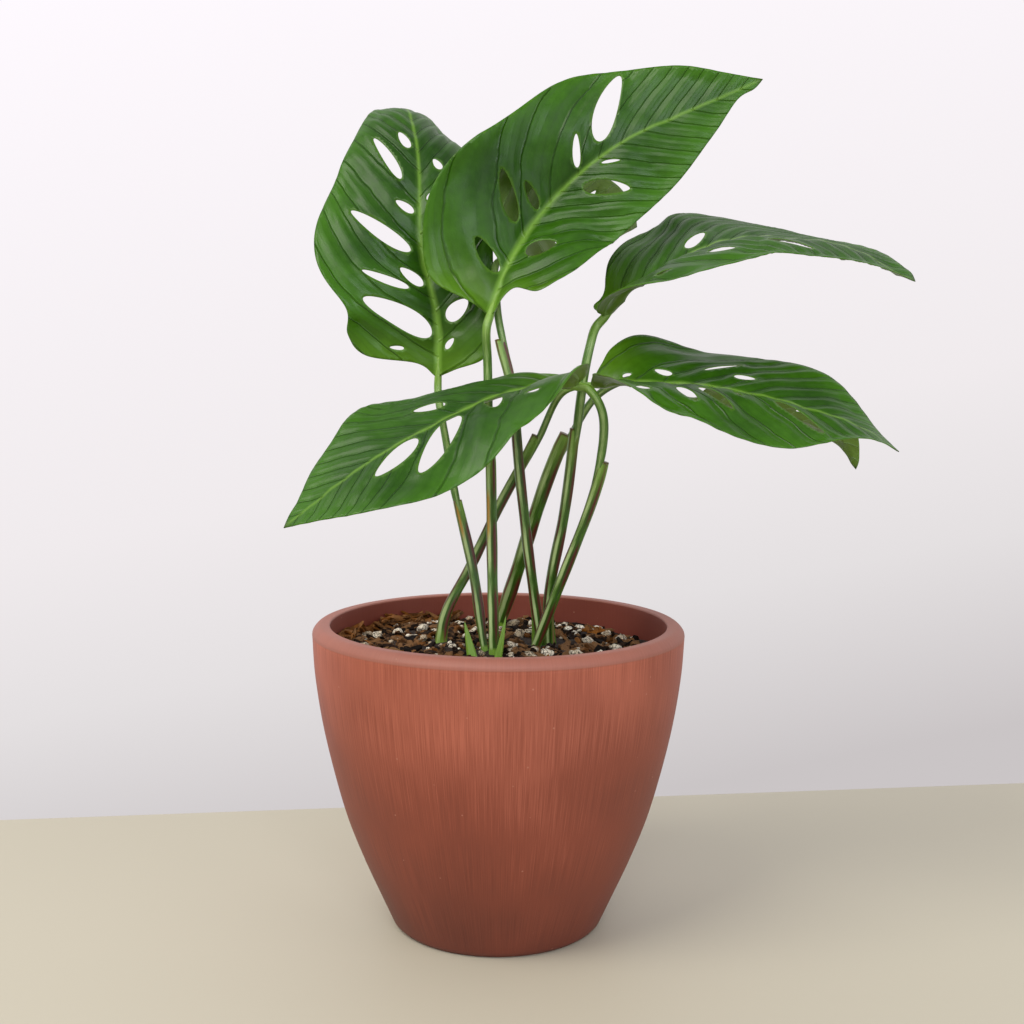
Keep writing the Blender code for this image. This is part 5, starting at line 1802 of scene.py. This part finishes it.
@dataclass(frozen=True)
class Studio:
    """A pale table against a wall that glows with painted light, lit softly from the upper left.

    back_left, back_right: ends of the table's back edge in mm. wall_distance: the wall, in mm.
    wall_glow_tones: (level, colour) of the wall's painted glow, from low on the right to high on the left.
    wall_lean: how much the level falls for each metre to the right. wall_levels: its ends, in m.
    """
    back_left: tuple[float, float] = (-255.2, 123.1)
    back_right: tuple[float, float] = (298.7, 195.9)
    wall_distance: float = 900.0
    table: str = "#BDB7A4"
    wall_glow_tones: tuple = ((0.04, "#CAC5C6"), (0.25, "#E4E0E1"), (0.43, "#F0EBED"), (1.0, "#FFFAFF"))
    wall_lean: float = 0.2
    wall_levels: tuple[float, float] = (-0.3, 0.7)
    sky: str = "#F4F3F6"
    sky_strength: float = 0.5
    lamps: tuple[Lamp, ...] = (
        Lamp("key", (-1.0, -0.8, 1.5), (0.0, 0.0, 0.2), 1.1, 24.0, "#FFFAF0"),
        Lamp("window", (0.15, -1.5, 1.0), (0.0, 0.0, 0.25), 0.8, 11.0, "#F2F6FF"),
        Lamp("fill", (1.5, -1.0, 0.7), (0.0, 0.0, 0.2), 1.2, 7.0, "#F4F6FF"),
    )

    def plain_piece(self, name: str, points: Array, faces: list, material: Material) -> bpy.types.Object:
        """Make a plain mesh of the stage from points in mm and faces by point number."""
        mesh = bpy.data.meshes.new(name)
        mesh.from_pydata((points * MM).tolist(), [], faces)
        mesh.materials.append(material)
        return add_object(name, mesh)

    def table_top(self) -> None:
        """A plain slab whose top is the surface that the pot stands on."""
        left, right = np.array(self.back_left), np.array(self.back_right)
        along = (right - left) / np.linalg.norm(right - left)
        ahead = np.array([along[1], -along[0]])
        far = 2600.0
        near = [left - along * far, right + along * far]
        corners = near + [corner + ahead * far for corner in near[::-1]]
        points = np.array([(x, y, z) for z in (-30.0, -0.05) for x, y in corners])
        faces = [(3, 2, 1, 0), (4, 5, 6, 7), (0, 1, 5, 4), (1, 2, 6, 5), (2, 3, 7, 6), (3, 0, 4, 7)]
        material, tree, shader = new_material("painted_table")
        wire(tree, shader, {"Base Color": self.table, "Roughness": 0.6})
        table = self.plain_piece("table", points, faces, material)

    def wall(self) -> None:
        """A wall that glows with painted light, brighter higher up and towards the left."""
        y = self.wall_distance
        points = np.array([(-4000, y, -2500), (4000, y, -2500), (4000, y, 3500), (-4000, y, 3500)])
        material, tree, shader = new_material("painted_glow_wall")
        spot = add_node(tree, "ShaderNodeTexCoord", {}, {}).outputs["Object"]
        axes = add_node(tree, "ShaderNodeSeparateXYZ", {}, {0: spot})
        tilted = add_node(tree, "ShaderNodeMath", {"operation": "MULTIPLY_ADD", 1: -self.wall_lean},
                          {0: axes.outputs[0], 2: axes.outputs[2]})
        low, high = self.wall_levels
        level = add_node(tree, "ShaderNodeMapRange", {"From Min": low, "From Max": high},
                         {"Value": tilted.outputs[0]})
        # Painted light: the wall's glow is brighter higher up and towards the left.
        colour = ramp(tree, level.outputs[0], self.wall_glow_tones)
        wire(tree, shader, {"Emission Color": colour, "Emission Strength": 1.0, "Base Color": BLACK,
                            "Specular IOR Level": 0.0})
        wall = self.plain_piece("wall", points, [(0, 1, 2, 3)], material)

    def build(self) -> None:
        """Make the table, the wall, the sky light and the lamps."""
        self.table_top()
        self.wall()
        world = bpy.data.worlds.new("studio")
        world.use_nodes = True
        background = world.node_tree.nodes["Background"]
        wire(world.node_tree, background, {"Color": self.sky, "Strength": self.sky_strength})
        bpy.context.scene.world = world
        for lamp in self.lamps:
            lamp.build()
        bpy.context.scene.view_settings.view_transform = "Standard"
        bpy.context.scene.view_settings.look = "None"


# Assembly

# Young spikes and the dry sheath at the soil: foot, tip and foot radius, all in mm. The ends began
# as readings from the photo with a guessed depth, turned into millimetres by a program.
SPIKES = {
    "spike_left": ((-10.7, -16.3, 116), (-14, -15, 131), 2.2),
    "spike_middle": ((0, -19, 117), (3, -17.5, 134), 1.6),
    "spike_right": ((15.5, 11.5, 116.5), (14.2, 10, 136), 1.3),
    "dry_sheath": ((23.5, 8, 115.5), (22.5, 6.5, 133), 1.3),
}


class FinishKind(Enum):
    """Which finish a spike has."""
    YOUNG = "spike_green"
    DRY = "dry_brown"


def write_sizes() -> None:
    """Bring the view layer up to date."""
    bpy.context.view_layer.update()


def main() -> None:
    """Build the pot, the potting mix, the leaves and the studio."""
    logging.basicConfig(level=logging.INFO, format="%(name)s: %(message)s")
    leaf_skin = LeafSkin().material()
    stalk_skin = StalkSkin().material()
    young_skin = StalkSkin(name="young_spike", deep="#2F6A12", pale="#7FB347").material()
    dry_skin = StalkSkin(name="dry_sheath", deep="#3A2417", pale="#7B5A3D", edge="#2A1810").material()
    spike_skins = {FinishKind.YOUNG: young_skin, FinishKind.DRY: dry_skin}
    pot = ClayPot()
    pot.build(BrushedTerracotta().material())
    stems = []
    for name, form in LEAF_FORMS.items():
        blade = LeafBlade(name, form)
        blade.build(leaf_skin)
        stalk = LeafStalk(name, STALK_FORMS[name], blade)
        stalk.build(stalk_skin)
        foot = stalk.form.route[0]
        stems.append((foot[0], foot[1], stalk.form.foot))
    for name, (foot, tip, radius) in SPIKES.items():
        kind = FinishKind.DRY if name == DRY_NODE else FinishKind.YOUNG
        YoungSpike(name, foot, tip, radius).build(spike_skins[kind], kind.value)
        stems.append((foot[0], foot[1], radius))
    PottingMix(pot, stems).build(PeatFinish().material(), BarkFinish().material(), PerliteFinish().material())
    Studio().build()
    Viewpoint().build()
    write_sizes()


if __name__ == "__main__":
    main()
